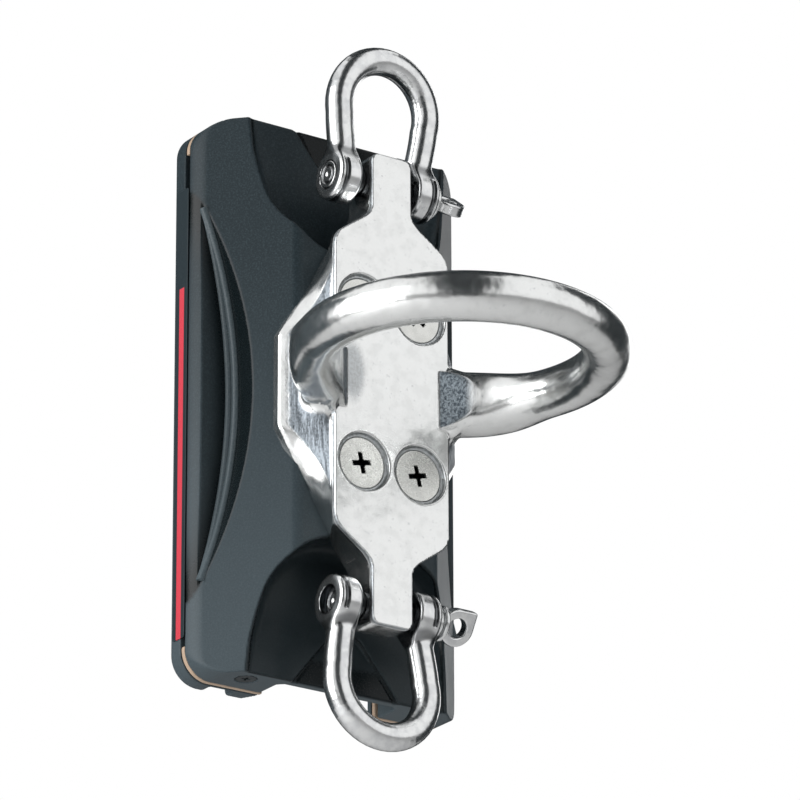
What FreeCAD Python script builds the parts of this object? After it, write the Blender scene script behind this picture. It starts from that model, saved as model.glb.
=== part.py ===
"""Car for a spinnaker pole on a mast track: sculpted housing, recirculating balls, ring plate, bow shackles.

Frame: X to the right, Z up along the track, and the front of the car looks along -Y. The origin is the
centre of the face that runs over the crown of the track. Heights in front of that face are called
rises, so a point at rise r lies at Y = -r, and depths behind it are called depths, at Y = +depth.
"""
import FreeCAD, Part
import math
import os

import Sketcher
from FreeCAD import Placement, Rotation, Vector

doc = FreeCAD.newDocument("pole_car")
sheet = doc.addObject("Spreadsheet::Sheet", "size")

# Driving dimensions in millimetres, angles in degrees
SIZES = {
    # Housing
    "car_length": (127, "length of the car along the track"),
    "car_width": (68, "width across both sides"),
    "plan_round": (6.5, "corner radius seen from the front"),
    "shoulder_depth": (5.2, "where the shoulder's slope would meet the side, behind the track face"),
    "crest_rise": (2.8, "height of the crests in front of the track face"),
    "pad_rise": (11.1, "height of the flat pad that carries the ring plate"),
    "shoulder_round": (6, "radius from the shoulder to the side"),
    "housing_depth": (7.7, "parting face behind the track face"),
    "slot_width": (30, "width of the track slot in the housing"),
    "slot_round": (2, "radius in the corners of the slot"),
    "guide_thickness": (1.6, "thickness of a ball guide and of the parting slot"),
    "guide_length": (7, "length of a ball guide along the side"),
    "cover_depth": (4.5, "thickness of a race cover"),
    "cover_round": (1.4, "radius along the back edge of a race cover"),
    "notch_side": (8, "notch in the end of a race cover, from the side of the car"),
    "notch_width": (6, "width of the notch"),
    "notch_length": (3, "length of the notch along the car"),
    "notch_lip": (0.8, "thickness of the lip that is left in front of the notch"),
    "mouth_step": (0.6, "how much further in a race cover reaches than the slot's wall"),
    "mouth_flare": (2.2, "how much further apart the covers are at the back"),
    "island_half": (2.4, "half width of the island inside a loop of balls"),
    # End scoops
    "scoop_length": (31.2, "length of an end scoop"),
    "scoop_taper": (7.4, "how much narrower each side of a scoop is at its inner wall than at the crest"),
    "scoop_flare": (2, "how much wider a scoop gets beyond the end of the car"),
    "scoop_crossing": (7, "where the scoop's wall crosses the crest, from the end of the car"),
    "scoop_round": (18, "radius of the scoop's inner corners"),
    "scoop_cove": (3.5, "radius between the wall and the floor of a scoop"),
    "ramp_half": (13, "half width of the ramp panel at the end of the car"),
    "ramp_tip": (3, "half width of the ramp panel at its inner end"),
    "ramp_length": (12.5, "length of the ramp panel"),
    "ramp_sink": (0.8, "depth of the ramp panel below the scoop's floor"),
    # Crescent scallops in the shoulders
    "scallop_radius": (125, "radius of a scallop's curved wall"),
    "scallop_reach": (9.2, "reach of a scallop into the shoulder, from the side of the car"),
    "scallop_depth": (4.2, "floor of a scallop behind the track face"),
    "scallop_round": (1.2, "radius between the wall and the floor of a scallop"),
    # Recirculating balls
    "ball_diameter": (6.35, "diameter of a ball"),
    "ball_play": (0.1, "radial play of a ball in its channel"),
    "ball_gap": (0.12, "smallest gap between two balls"),
    "ball_proud": (0.175, "how far the loaded balls stand out of the edges of the covers"),
    "return_wall": (1.625, "wall between the returning balls and the side"),
    "turn_wall": (2.925, "wall between the outermost ball of a turn and the end"),
    # Ring plate
    "face_rise": (20.6, "front face of the ring plate"),
    "face_half": (14.85, "half width of the front face"),
    "face_round": (6, "radius of the plate's shoulders"),
    "lug_radius": (5.39, "radius of the lug about a shackle pin"),
    "tongue_half": (5.15, "half width of a tongue"),
    "tongue_length": (14.15, "length of a tongue beyond the shoulders"),
    "shoulder_fall": (6.8, "how far the plate's shoulders fall away from the tongue"),
    "tongue_round": (4, "radius between a tongue and the shoulder"),
    "tongue_corner": (2, "corner radius at the end of a tongue"),
    "edge_round": (0.6, "radius along the edge of the front face"),
    "wing_half": (23.2, "half width across the wings"),
    "wing_flat": (10.4, "half height of the flat side of a wing"),
    "wing_lift": (2.6, "how far a wing reaches above the low end of the plate's shoulder"),
    "wing_neck": (8.5, "half width of the top of a wing"),
    "wing_back": (9, "height of the back of a wing's outer edge in front of the track face"),
    "wing_edge": (2.3, "thickness of a wing at its outer edge"),
    "wing_gap": (0.3, "clearance between a wing and the housing's shoulder"),
    "wing_drop": (1, "depth of a wing's slope below the front face"),
    "wing_bevel": (1, "bevel along the outer edge of a wing"),
    "wing_round": (3, "corner radius of a wing"),
    "ring_radius": (30.8, "radius of the middle line of the ring"),
    "ring_bar": (10.56, "diameter of the ring's bar"),
    "ring_sink": (0.1, "how far the ring's inner side stays behind the front face"),
    "ring_blend": (1, "radius where the ring grows out of the wings"),
    "throat_half": (11.75, "half width of the flat face between the ring's roots"),
    "throat_rise": (9, "height of the clear throat between the roots"),
    "throat_flare": (7.2, "how much wider each side of the throat gets over its height"),
    # Screws
    "screw_fit": (0.05, "radial clearance around a screw"),
    "screw_run_out": (0.5, "how much deeper a hole is than its screw"),
    "screw_across": (7.2, "plate screw from the middle, across"),
    "screw_up": (18.17, "plate screw from the middle, up"),
    "screw_head": (11.4, "diameter of a plate screw's head"),
    "screw_shank": (6, "diameter of a plate screw"),
    "screw_reach": (8.4, "length of a plate screw inside the housing"),
    "screw_rim": (0.6, "straight rim of a plate screw's head"),
    "screw_sink": (1, "depth of a plate screw's head below the face"),
    "counterbore": (12.8, "diameter of the recess over a plate screw's head"),
    "end_screw_side": (11.6, "end screw from the side of the car"),
    "end_screw_depth": (1.6, "end screw behind the track face"),
    "end_screw_head": (4.6, "diameter of an end screw's head"),
    "end_screw_shank": (2.9, "diameter of an end screw"),
    "end_screw_length": (9, "length of an end screw"),
    "cover_screw_head": (5.4, "diameter of a cover screw's head"),
    "cover_screw_shank": (3, "diameter of a cover screw"),
    "cover_screw_reach": (4, "length of a cover screw inside the housing"),
    "cover_screw_pitch": (34, "distance between the screws of one cover"),
    "small_rim": (0.2, "straight rim of the head of an end screw or cover screw"),
    "small_sink": (0.1, "depth of the head of an end screw or cover screw below its surface"),
    "cross_width": (0.2, "width of an arm of a screw's cross, as a share of the head"),
    "cross_reach": (0.54, "span of a screw's cross, as a share of the head"),
    "cross_depth": (0.16, "depth of a screw's cross, as a share of the head"),
    # Bow shackles
    "pin_height": (48.56, "height of a shackle pin"),
    "pin_rise": (15.1, "height of a shackle pin in front of the track face"),
    "pin_diameter": (6, "diameter of a shackle pin"),
    "pin_fit": (0.1, "radial clearance of a pin in its tongue"),
    "pin_thread": (0.05, "radial clearance of a pin in its ears"),
    "bow_bar": (6, "diameter of the bow's bar"),
    "bow_half": (11, "radius of the crown's middle line"),
    "bow_reach": (31.7, "pin to the outside of the crown"),
    "ear_gap": (15.4, "gap between the two ears"),
    "ear_thickness": (5.4, "thickness of an ear"),
    "ear_diameter": (11.6, "diameter of an ear"),
    "ear_round": (0.8, "radius around the edges of an ear"),
    "upper_lean": (3, "lean of the upper bow towards the front"),
    "lower_lean": (8, "lean of the lower bow towards the front"),
    "collar_diameter": (8.4, "diameter of the pin's collar"),
    "collar_thickness": (1.2, "thickness of the pin's collar"),
    "eye_plate": (2.6, "thickness of the pin's eye plate"),
    "eye_diameter": (8.2, "outer diameter of the pin's eye"),
    "eye_hole": (4.2, "diameter of the hole in the pin's eye"),
    "eye_tip": (5.8, "centre of the eye to its tip"),
    "eye_lean": (45, "angle between the eye's tip and the pin"),
    "eye_round": (0.6, "radius of the eye's tip"),
    "upper_turn": (-52, "turn of the upper pin's eye about the pin"),
    "lower_turn": (31, "turn of the lower pin's eye about the pin"),
    "lower_out": (1.7, "how far the lower pin is screwed out of its bow"),
    # Side label
    "label_above": (15, "top end of the car to the side label"),
    "label_below": (9, "bottom end of the car to the side label"),
    "label_front": (7.5, "front edge of the side label behind the track face"),
    "label_width": (4.5, "width of the side label"),
    "label_thickness": (0.3, "thickness of the side label"),
}
for row, (alias, (value, note)) in enumerate(SIZES.items(), start=1):
    sheet.set(f"A{row}", alias.replace("_", " "))
    sheet.set(f"B{row}", str(value))
    sheet.setAlias(f"B{row}", alias)
    sheet.set(f"C{row}", note)
doc.recompute()

# Values that several sub-parts share, as expressions of the sheet
HALF_LENGTH = "(size.car_length / 2)"
HALF_WIDTH = "(size.car_width / 2)"
CREST_HALF = f"({HALF_WIDTH} - size.shoulder_depth - size.crest_rise)"
PAD_HALF = f"({CREST_HALF} - size.pad_rise + size.crest_rise)"
MOUTH_HALF = "(size.slot_width / 2 - size.mouth_step)"
COVER_FRONT = "(size.housing_depth + size.guide_thickness)"
COVER_BACK = "(size.housing_depth + size.guide_thickness + size.cover_depth)"
BALL_DEPTH = "(size.housing_depth + size.guide_thickness / 2)"
CHANNEL = "(size.ball_diameter / 2 + size.ball_play)"
LOAD_RUN = f"({MOUTH_HALF} + size.ball_diameter / 2 - size.ball_proud)"
RETURN_RUN = f"({HALF_WIDTH} - size.return_wall - size.ball_diameter / 2)"
TURN_RADIUS = f"(({RETURN_RUN} - {LOAD_RUN}) / 2)"
TURN_MIDDLE = f"(({RETURN_RUN} + {LOAD_RUN}) / 2)"
TURN_HEIGHT = f"({HALF_LENGTH} - size.turn_wall - size.ball_diameter / 2 - {TURN_RADIUS})"
RING_RISE = "(size.face_rise - size.ring_sink + size.ring_radius - size.ring_bar / 2)"
TONGUE_END = "(size.pin_height + size.lug_radius)"
SHOULDER_HIGH = f"({TONGUE_END} - size.tongue_length)"
SHOULDER_LOW = f"({SHOULDER_HIGH} - size.shoulder_fall)"
WING_TOP = f"({SHOULDER_LOW} + size.wing_lift)"
EAR_OUTER = "(size.ear_gap / 2 + size.ear_thickness)"
# Cutting tools run past the faces that they open by this much, in the open and near other faces
PAST = "5"
OVER = "1"
# Solids that are joined overlap by this much
LAP = "0.5"

FRONT = Rotation(Vector(1, 0, 0), 90)
SIDE = Rotation(Vector(1, 1, 1), 120)
SECTION = Rotation()
AXES = {"x": Rotation(Vector(0, 1, 0), 90), "y": Rotation(Vector(1, 0, 0), -90), "z": Rotation()}


def size(name):
    """Return one driving dimension as a number."""
    return float(sheet.get(name))


def bind(item, **expressions):
    """Tie properties of a document object to expressions of the sheet."""
    for name, expression in expressions.items():
        item.setExpression(name, str(expression))
    return item


def place(item, x="0", y="0", z="0", rotation=None):
    """Put a document object at a place that the sheet works out."""
    item.Placement = Placement(Vector(), rotation or Rotation())
    for axis, expression in (("x", x), ("y", y), ("z", z)):
        item.setExpression(f"Placement.Base.{axis}", str(expression))
    return item


def sketch(name, points, rotation):
    """Draw a closed outline whose corners the sheet works out, on a plane through the origin."""
    item = doc.addObject("Sketcher::SketchObject", name)
    item.Placement = Placement(Vector(), rotation)
    draw(item, points)
    return item


def draw(item, points):
    """Add a closed outline to a sketch, each corner tied to the sheet."""
    value = evaluator()
    corners = [Vector(value(x), value(y), 0) for x, y in points]
    for here, after in zip(corners, corners[1:] + corners[:1]):
        item.addGeometry(Part.LineSegment(here, after), False)
    for index in range(len(points)):
        item.addConstraint(Sketcher.Constraint("Coincident", index, 2, (index + 1) % len(points), 1))
    for index, corner in enumerate(points):
        for kind, expression in zip(("DistanceX", "DistanceY"), corner):
            number = item.addConstraint(Sketcher.Constraint(kind, -1, 1, index, 1, value(expression)))
            item.setExpression(f"Constraints[{number}]", str(expression))


def evaluator():
    """Return a function that works out one of the sheet's expressions as a number."""
    def value(expression):
        return float(sheet.evalExpression(str(expression)))
    return value


def prism(name, points, rotation, start, end, rounds=()):
    """Extrude an outline between two distances along its plane's normal, and round some upright edges.

    rounds holds pairs of a corner and the sheet expression of its radius.
    """
    outline = sketch(name + "_outline", points, rotation)
    solid = doc.addObject("Part::Extrusion", name if not rounds else name + "_block")
    solid.Base = outline
    solid.DirMode = "Normal"
    solid.Solid = True
    bind(solid, LengthFwd=end, LengthRev=f"-({start})")
    if not rounds:
        return solid
    value = evaluator()
    radii = {}
    for (x, y), radius in rounds:
        radii[(round(value(x), 4), round(value(y), 4))] = value(radius)
    doc.recompute()
    normal = rotation.multVec(Vector(0, 0, 1))

    def radius_of(edge):
        if not parallel(edge, normal):
            return None
        local = rotation.inverted().multVec(edge.Vertexes[0].Point)
        return radii.get((round(local.x, 4), round(local.y, 4)))
    return fillet(name, solid, radius_of)


def both(points):
    """Return corners with their mirror images across the middle, in order round the outline."""
    return list(points) + [(f"-({x})", y) for x, y in reversed(points)]


def parallel(edge, direction):
    """Tell whether an edge is straight and runs along a direction."""
    if edge.Curve.TypeId != "Part::GeomLine" or len(edge.Vertexes) != 2:
        return False
    along = (edge.Vertexes[1].Point - edge.Vertexes[0].Point).normalize()
    return abs(abs(along.dot(direction)) - 1) < 1e-6


def fillet(name, base, radius_of, kind="Part::Fillet"):
    """Round or bevel the edges of a solid for which radius_of gives a size."""
    doc.recompute()
    edges = []
    for number, edge in enumerate(base.Shape.Edges, start=1):
        radius = radius_of(edge)
        if radius:
            edges.append((number, radius, radius))
    if not edges:
        raise RuntimeError(f"{name}: no edge to round")
    item = doc.addObject(kind, name)
    item.Base = base
    item.Edges = edges
    return item


def cylinder(name, radius, height, x="0", y="0", z="0", axis="z"):
    """Make a cylinder that starts at a point and runs along one axis."""
    item = doc.addObject("Part::Cylinder", name)
    bind(item, Radius=radius, Height=height)
    return place(item, x, y, z, AXES[axis])


def box(name, low, high):
    """Make a box between two corners."""
    item = doc.addObject("Part::Box", name)
    bind(item, Length=f"({high[0]}) - ({low[0]})", Width=f"({high[1]}) - ({low[1]})",
         Height=f"({high[2]}) - ({low[2]})")
    return place(item, *low)


def cut(name, base, *tools):
    """Take tools away from a solid."""
    item = doc.addObject("Part::Cut", name)
    item.Base = base
    item.Tool = tools[0] if len(tools) == 1 else fuse(name + "_tools", *tools)
    return item


def fuse(name, *parts):
    """Join solids into one, without seams where faces run on."""
    item = doc.addObject("Part::MultiFuse", name)
    item.Shapes = list(parts)
    item.Refine = True
    return item


def common(name, first, second):
    """Keep what two solids share."""
    item = doc.addObject("Part::Common", name)
    item.Base = first
    item.Tool = second
    return item


def mirror(name, source, normal):
    """Make the mirror image of a solid across a plane through the origin."""
    item = doc.addObject("Part::Mirroring", name)
    item.Source = source
    item.Base = Vector()
    item.Normal = normal
    return item


ACROSS = Vector(1, 0, 0)
ALONG = Vector(0, 0, 1)
nodes = []


def node(item, label):
    """Name a finished sub-part after the file that it goes to."""
    item.Label = label
    nodes.append(item)
    return item


# Housing: a block with sloping shoulders, a slot for the track and a pad for the ring plate
def housing_block():
    """Return the housing before its scoops, channels and holes are cut."""
    side = (HALF_WIDTH, "size.shoulder_depth")
    corner = ("size.slot_width / 2", "0")
    half = [("size.slot_width / 2", "size.housing_depth"), (HALF_WIDTH, "size.housing_depth"), side,
            (PAD_HALF, "-size.pad_rise")]
    points = both(half) + [(f"-{corner[0]}", corner[1]), corner]
    rounds = [(point, "size.shoulder_round") for point in both([side])]
    rounds += [(point, "size.slot_round") for point in both([corner])]
    profile = prism("housing_profile", points, SECTION, f"-{HALF_LENGTH}", HALF_LENGTH, rounds)
    return common("housing_block", profile, plan_block("housing_plan"))


def plan_block(name):
    """Return a block with the car's rounded outline that reaches past the housing at both faces."""
    points = both([(HALF_WIDTH, f"-{HALF_LENGTH}"), (HALF_WIDTH, HALF_LENGTH)])
    return prism(name, points, FRONT, f"-size.housing_depth - {PAST}", f"size.pad_rise + {PAST}",
                 [(point, "size.plan_round") for point in points])


def scoop_tools():
    """Return the tools that cut both end scoops with their ramp panels."""
    inner = (f"{CREST_HALF} - size.scoop_taper", f"{HALF_LENGTH} - size.scoop_length")
    wall = [(f"{CREST_HALF} + size.scoop_flare", f"{HALF_LENGTH} + {PAST}"),
            (CREST_HALF, f"{HALF_LENGTH} - size.scoop_crossing"), inner]
    well = prism("scoop_well", both(wall), FRONT, "size.crest_rise", f"size.pad_rise + {PAST}",
                 [(point, "size.scoop_round") for point in both([inner])])
    floor = -size("crest_rise")

    def cove(edge):
        low = all(abs(vertex.Y - floor) < 1e-6 for vertex in edge.Vertexes)
        inside = all(vertex.Z < size("car_length") / 2 for vertex in edge.Vertexes[:1])
        return size("scoop_cove") if low and inside else None
    well = fillet("scoop_cutter", well, cove)
    tip = ("size.ramp_tip", f"{HALF_LENGTH} - size.ramp_length")
    side = [("size.ramp_half", f"{HALF_LENGTH} + {PAST}"), ("size.ramp_half", HALF_LENGTH), tip]
    ramp = prism("ramp_cutter", both(side), FRONT, "size.crest_rise - size.ramp_sink",
                 f"size.crest_rise + {OVER}", [(point, "size.ramp_tip") for point in both([tip])])
    upper = fuse("scoop_upper", well, ramp)
    return upper, mirror("scoop_lower", upper, ALONG)


def scallop_tools():
    """Return the tools that cut the crescent scallops out of both shoulders."""
    disc = cylinder("scallop_disc", "size.scallop_radius", f"size.scallop_depth + size.pad_rise + {PAST}",
                    x=f"{HALF_WIDTH} - size.scallop_reach + size.scallop_radius",
                    y=f"-(size.pad_rise + {PAST})", axis="y")
    floor = size("scallop_depth")

    def toe(edge):
        return size("scallop_round") if all(abs(v.Y - floor) < 1e-6 for v in edge.Vertexes) else None
    right = fillet("scallop_right", disc, toe)
    return right, mirror("scallop_left", right, ACROSS)


def channel(name, radius):
    """Return one closed round channel for the right-hand loop of balls."""
    parts = []
    for run, middle in (("load", LOAD_RUN), ("return", RETURN_RUN)):
        parts.append(cylinder(f"{name}_{run}", radius, f"2 * {TURN_HEIGHT}", x=middle, y=BALL_DEPTH,
                              z=f"-{TURN_HEIGHT}"))
    for label, side in (("top", 1), ("bottom", -1)):
        turn = doc.addObject("Part::Torus", f"{name}_{label}_turn")
        bind(turn, Radius1=TURN_RADIUS, Radius2=radius)
        turn.Angle3 = 180
        place(turn, TURN_MIDDLE, BALL_DEPTH, f"{side} * {TURN_HEIGHT}",
              FRONT if side > 0 else FRONT.multiply(Rotation(Vector(0, 0, 1), 180)))
        parts.append(turn)
    return fuse(name, *parts)


def build_housing(race):
    """Make the housing and the holes for all that is screwed into it."""
    tools = [*scoop_tools(), *scallop_tools(), race, mirror("race_left", race, ACROSS)]
    tools += [screw_hole(kind, tag, *spot) for kind in SCREWS for tag, *spot in screw_places(kind)]
    node(cut("housing", housing_block(), *tools), "housing")


# Race covers, ball guides and balls
def build_covers(race):
    """Make the two race covers behind the housing."""
    corners = [(HALF_WIDTH, f"-{HALF_LENGTH}"), (HALF_WIDTH, HALF_LENGTH)]
    plan = [(MOUTH_HALF, f"-{HALF_LENGTH}"), *corners, (MOUTH_HALF, HALF_LENGTH)]
    block = prism("cover_plan", plan, FRONT, f"-{COVER_BACK}", f"-{COVER_FRONT}",
                  [(corner, "size.plan_round") for corner in corners])
    value = evaluator()
    back, mouth = value(COVER_BACK), value(MOUTH_HALF)

    def outer(edge):
        on_back = all(abs(v.Y - back) < 1e-6 for v in edge.Vertexes)
        turns = any(abs(v.X - mouth) > 1e-6 for v in edge.Vertexes)
        return size("cover_round") if on_back and turns else None
    block = fillet("cover_block", block, outer)
    island = box("cover_island",
                 (f"{TURN_MIDDLE} - size.island_half", "size.housing_depth", f"-{TURN_HEIGHT}"),
                 (f"{TURN_MIDDLE} + size.island_half", f"{COVER_FRONT} + {LAP}", TURN_HEIGHT))
    inner = f"{MOUTH_HALF} - {OVER}"
    flare = [(inner, COVER_FRONT), (MOUTH_HALF, COVER_FRONT),
             (f"{MOUTH_HALF} + size.mouth_flare", COVER_BACK), (inner, COVER_BACK)]
    wedge = prism("cover_flare", flare, SECTION, f"-{HALF_LENGTH} - {OVER}", f"{HALF_LENGTH} + {OVER}")
    edge = f"{HALF_WIDTH} - size.notch_side"
    notch = box("cover_notch_top", (f"{edge} - size.notch_width", f"{COVER_FRONT} + size.notch_lip",
                                    f"{HALF_LENGTH} - size.notch_length"),
                (edge, f"{COVER_BACK} + {OVER}", f"{HALF_LENGTH} + {OVER}"))
    tools = [race, wedge, notch, mirror("cover_notch_bottom", notch, ALONG)]
    tools += [screw_hole("cover", tag + "_in_cover", *spot) for tag, *spot in screw_places("cover")
              if tag.endswith("right")]
    right = cut("cover_right", fuse("cover_body", block, island), *tools)
    node(right, "race_cover_right")
    node(mirror("cover_left", right, ACROSS), "race_cover_left")


def build_guides(race):
    """Make the four ball guides that turn the balls round at the ends."""
    low = f"{HALF_LENGTH} - size.guide_length"
    corner = (HALF_WIDTH, HALF_LENGTH)
    plan = [(MOUTH_HALF, low), (HALF_WIDTH, low), corner, (MOUTH_HALF, HALF_LENGTH)]
    plate = prism("guide_plate", plan, FRONT, f"-{COVER_FRONT}", "-size.housing_depth",
                  [(corner, "size.plan_round")])
    top_right = cut("guide_top_right", plate, race)
    node(top_right, "ball_guide_top_right")
    node(mirror("guide_top_left", top_right, ACROSS), "ball_guide_top_left")
    bottom_right = mirror("guide_bottom_right", top_right, ALONG)
    node(bottom_right, "ball_guide_bottom_right")
    node(mirror("guide_bottom_left", bottom_right, ACROSS), "ball_guide_bottom_left")


def loop_places():
    """Return the centres of the balls of the right-hand loop, evenly spaced around it."""
    value = evaluator()
    run, turn, middle = 2 * value(TURN_HEIGHT), value(TURN_RADIUS), value(TURN_MIDDLE)
    load, back, depth = value(LOAD_RUN), value(RETURN_RUN), value(BALL_DEPTH)
    length = 2 * run + 2 * math.pi * turn
    count = int(length / (size("ball_diameter") + size("ball_gap")))
    places = []
    for number in range(count):
        along = number * length / count
        if along < run:
            x, z = load, along - run / 2
        elif along < run + math.pi * turn:
            angle = (along - run) / turn
            x, z = middle - turn * math.cos(angle), run / 2 + turn * math.sin(angle)
        elif along < 2 * run + math.pi * turn:
            x, z = back, run / 2 - (along - run - math.pi * turn)
        else:
            angle = (along - 2 * run - math.pi * turn) / turn
            x, z = middle + turn * math.cos(angle), -run / 2 - turn * math.sin(angle)
        places.append(Vector(x, depth, z))
    return places


def build_balls():
    """Make the two loops of balls."""
    balls = [Part.makeSphere(size("ball_diameter") / 2, place) for place in loop_places()]
    right = doc.addObject("Part::Feature", "balls_right")
    right.Shape = Part.Compound(balls)
    node(right, "balls_right")
    node(mirror("balls_left", right, ACROSS), "balls_left")


# Ring plate: a flat face with a tongue at each end, sloping wings and a ring, all one casting
def build_ring_plate():
    """Make the one-piece plate and ring."""
    tip, neck, shoulder = (("size.tongue_half", TONGUE_END), ("size.tongue_half", SHOULDER_HIGH),
                           ("size.face_half", SHOULDER_LOW))
    outline = four_ways([tip, neck, shoulder])
    rounds = [(point, "size.tongue_corner") for point in four_ways([tip])]
    rounds += [(point, "size.tongue_round") for point in four_ways([neck])]
    rounds += [(point, "size.face_round") for point in four_ways([shoulder])]
    spine = prism("plate_outline", outline, FRONT, f"size.pin_rise - size.lug_radius - {OVER}",
                  "size.face_rise", rounds)
    face = -size("face_rise")

    def rim(edge):
        return size("edge_round") if all(abs(v.Y - face) < 1e-6 for v in edge.Vertexes) else None
    side = fillet("plate_spine", common("plate_spine_block", spine, tongue_profile()), rim)
    torus = doc.addObject("Part::Torus", "ring_torus")
    bind(torus, Radius1="size.ring_radius", Radius2="size.ring_bar / 2")
    place(torus, y=f"-{RING_RISE}")
    behind = box("ring_behind", ("-size.ring_radius", "-size.pad_rise", "-size.ring_bar"),
                 ("size.ring_radius", "0", "size.ring_bar"))
    half = [("size.throat_half", "-size.face_rise"),
            ("size.throat_half + size.throat_flare", "-(size.face_rise + size.throat_rise)")]
    throat = prism("ring_throat", both(half), SECTION, "-size.ring_bar", "size.ring_bar")
    casting = fuse("wings_with_ring", wing_block(), cut("ring", torus, behind))
    blended = fillet("ring_blended", casting, ring_root(casting))
    body = fuse("plate_body", side, cut("ring_open", blended, throat))
    tools = [screw_hole("plate", tag + "_in_plate", *spot) for tag, *spot in screw_places("plate")]
    for up in (-1, 1):
        tools.append(cylinder(f"lug_hole_{up + 1}", "size.pin_diameter / 2 + size.pin_fit",
                              f"2 * size.tongue_half + 2 * {PAST}", x=f"-size.tongue_half - {PAST}",
                              y="-size.pin_rise", z=f"{up} * size.pin_height", axis="x"))
    node(cut("ring_plate", body, *tools), "ring_plate")


def four_ways(quarter):
    """Return the corners of the upper right quarter of an outline with their three mirror images."""
    return both(quarter + [(x, f"-({y})") for x, y in reversed(quarter)])


def ring_root(casting):
    """Return the test for an edge where the ring grows out of the front of the wings."""
    doc.recompute()
    shape = casting.Shape

    def root(edge):
        faces = shape.ancestorsOfType(edge, Part.Face)
        round_faces = [face for face in faces if face.Surface.TypeId == "Part::GeomToroid"
                       and abs(face.Surface.MajorRadius - size("ring_radius")) < 1e-6]
        front = all(vertex.Y < -size("pad_rise") - 0.01 for vertex in edge.Vertexes)
        return size("ring_blend") if len(round_faces) == 1 and len(faces) == 2 and front else None

    return root


def tongue_profile():
    """Return the side profile of the plate: flat face, and a round lug about each pin."""
    side = f"(size.face_half + {OVER})"
    parts = [box("profile_slab", (f"-{side}", "-size.face_rise", "-size.pin_height"),
                 (side, "-size.pad_rise", "size.pin_height")),
             box("profile_nose", (f"-{side}", "-size.face_rise", f"-{TONGUE_END}"),
                 (side, "-size.pin_rise", TONGUE_END))]
    for up in (-1, 1):
        parts.append(cylinder(f"profile_lug_{up + 1}", "size.lug_radius", f"2 * {side}", x=f"-{side}",
                              y="-size.pin_rise", z=f"{up} * size.pin_height", axis="x"))
    return fuse("plate_profile", *parts)


def wing_block():
    """Return the sloping wings on both sides of the face."""
    corner = ("size.wing_half", "size.wing_flat")
    plan = prism("wing_plan", four_ways([("size.wing_neck", WING_TOP), corner]), FRONT, "size.wing_back",
                 "size.face_rise", [(point, "size.wing_round") for point in four_ways([corner])])
    heel = f"({PAD_HALF} + sqrt(2) * size.wing_gap)"
    half = [(heel, "-size.pad_rise"), (f"{heel} + size.pad_rise - size.wing_back", "-size.wing_back"),
            ("size.wing_half", "-size.wing_back"), ("size.wing_half", "-(size.wing_back + size.wing_edge)"),
            ("size.face_half", "-(size.face_rise - size.wing_drop)")]
    roof = prism("wing_roof", both(half), SECTION, f"-{WING_TOP} - {OVER}", f"{WING_TOP} + {OVER}")
    block = common("wing_slopes", plan, roof)
    doc.recompute()
    shape = block.Shape

    def outer(edge):
        faces = shape.ancestorsOfType(edge, Part.Face)
        upright = [face for face in faces if abs(face.normalAt(0, 0).y) < 1e-6]
        front = all(vertex.Y < -size("pad_rise") - 0.01 for vertex in edge.Vertexes)
        return size("wing_bevel") if len(upright) == 1 and len(faces) == 2 and front else None
    return fillet("wing_block", block, outer, "Part::Chamfer")


# Screws, all countersunk: head, shank, rim, length, depth of the head, and width of the recess over it
SCREWS = {
    "plate": ("size.screw_head", "size.screw_shank", "size.screw_rim",
              "(size.face_rise - size.screw_sink - size.pad_rise + size.screw_reach)",
              "size.screw_sink", "size.counterbore"),
    "end": ("size.end_screw_head", "size.end_screw_shank", "size.small_rim", "size.end_screw_length",
            "size.small_sink", "size.end_screw_head + 2 * size.screw_fit"),
    "cover": ("size.cover_screw_head", "size.cover_screw_shank", "size.small_rim",
              "(size.cover_depth + size.guide_thickness + size.cover_screw_reach)",
              "size.small_sink", "size.cover_screw_head + 2 * size.screw_fit"),
}


def screw_places(kind):
    """List the screws of a kind: name, middle of the head's face, and turn of the screw."""
    sink = SCREWS[kind][4]
    places = []
    for side, across in ((-1, "left"), (1, "right")):
        if kind == "cover":
            places += [(f"{kind}_screw_{word}_{across}",
                        (f"{side} * {TURN_MIDDLE}", f"{COVER_BACK} - {sink}",
                         f"{step} * size.cover_screw_pitch"), AXES["y"])
                       for step, word in ((-1, "lower"), (0, "middle"), (1, "upper"))]
            continue
        for end, word in ((-1, "lower"), (1, "upper")):
            name = f"{kind}_screw_{word}_{across}"
            if kind == "plate":
                places.append((name, (f"{side} * size.screw_across", f"-(size.face_rise - {sink})",
                                      f"{end} * size.screw_up"), FRONT))
            else:
                outward = Rotation() if end > 0 else Rotation(Vector(1, 0, 0), 180)
                places.append((name, (f"{side} * ({HALF_WIDTH} - size.end_screw_side)", "size.end_screw_depth",
                                      f"{end} * ({HALF_LENGTH} - {sink})"), outward))
    return places


def screw_hole(kind, name, position, rotation):
    """Return the hole for one screw: shank, cone, rim and the recess over the head."""
    head, shank, rim, length, sink, recess = SCREWS[kind]
    wide, narrow = f"(({head}) / 2 + size.screw_fit)", f"(({shank}) / 2 + size.screw_fit)"
    name += "_hole"
    through = cylinder(name + "_shank", narrow, f"{length} + size.screw_run_out",
                       z=f"-({length} + size.screw_run_out)")
    cone = doc.addObject("Part::Cone", name + "_cone")
    bind(cone, Radius1=narrow, Radius2=wide, Height=f"{wide} - {narrow}")
    place(cone, z=f"-({rim}) - ({wide} - {narrow})")
    straight = cylinder(name + "_rim", wide, f"{rim} + {sink}", z=f"-({rim})")
    over = cylinder(name + "_recess", f"({recess}) / 2", f"{sink} + {OVER}")
    return place(fuse(name, through, cone, straight, over), *position, rotation)


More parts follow.
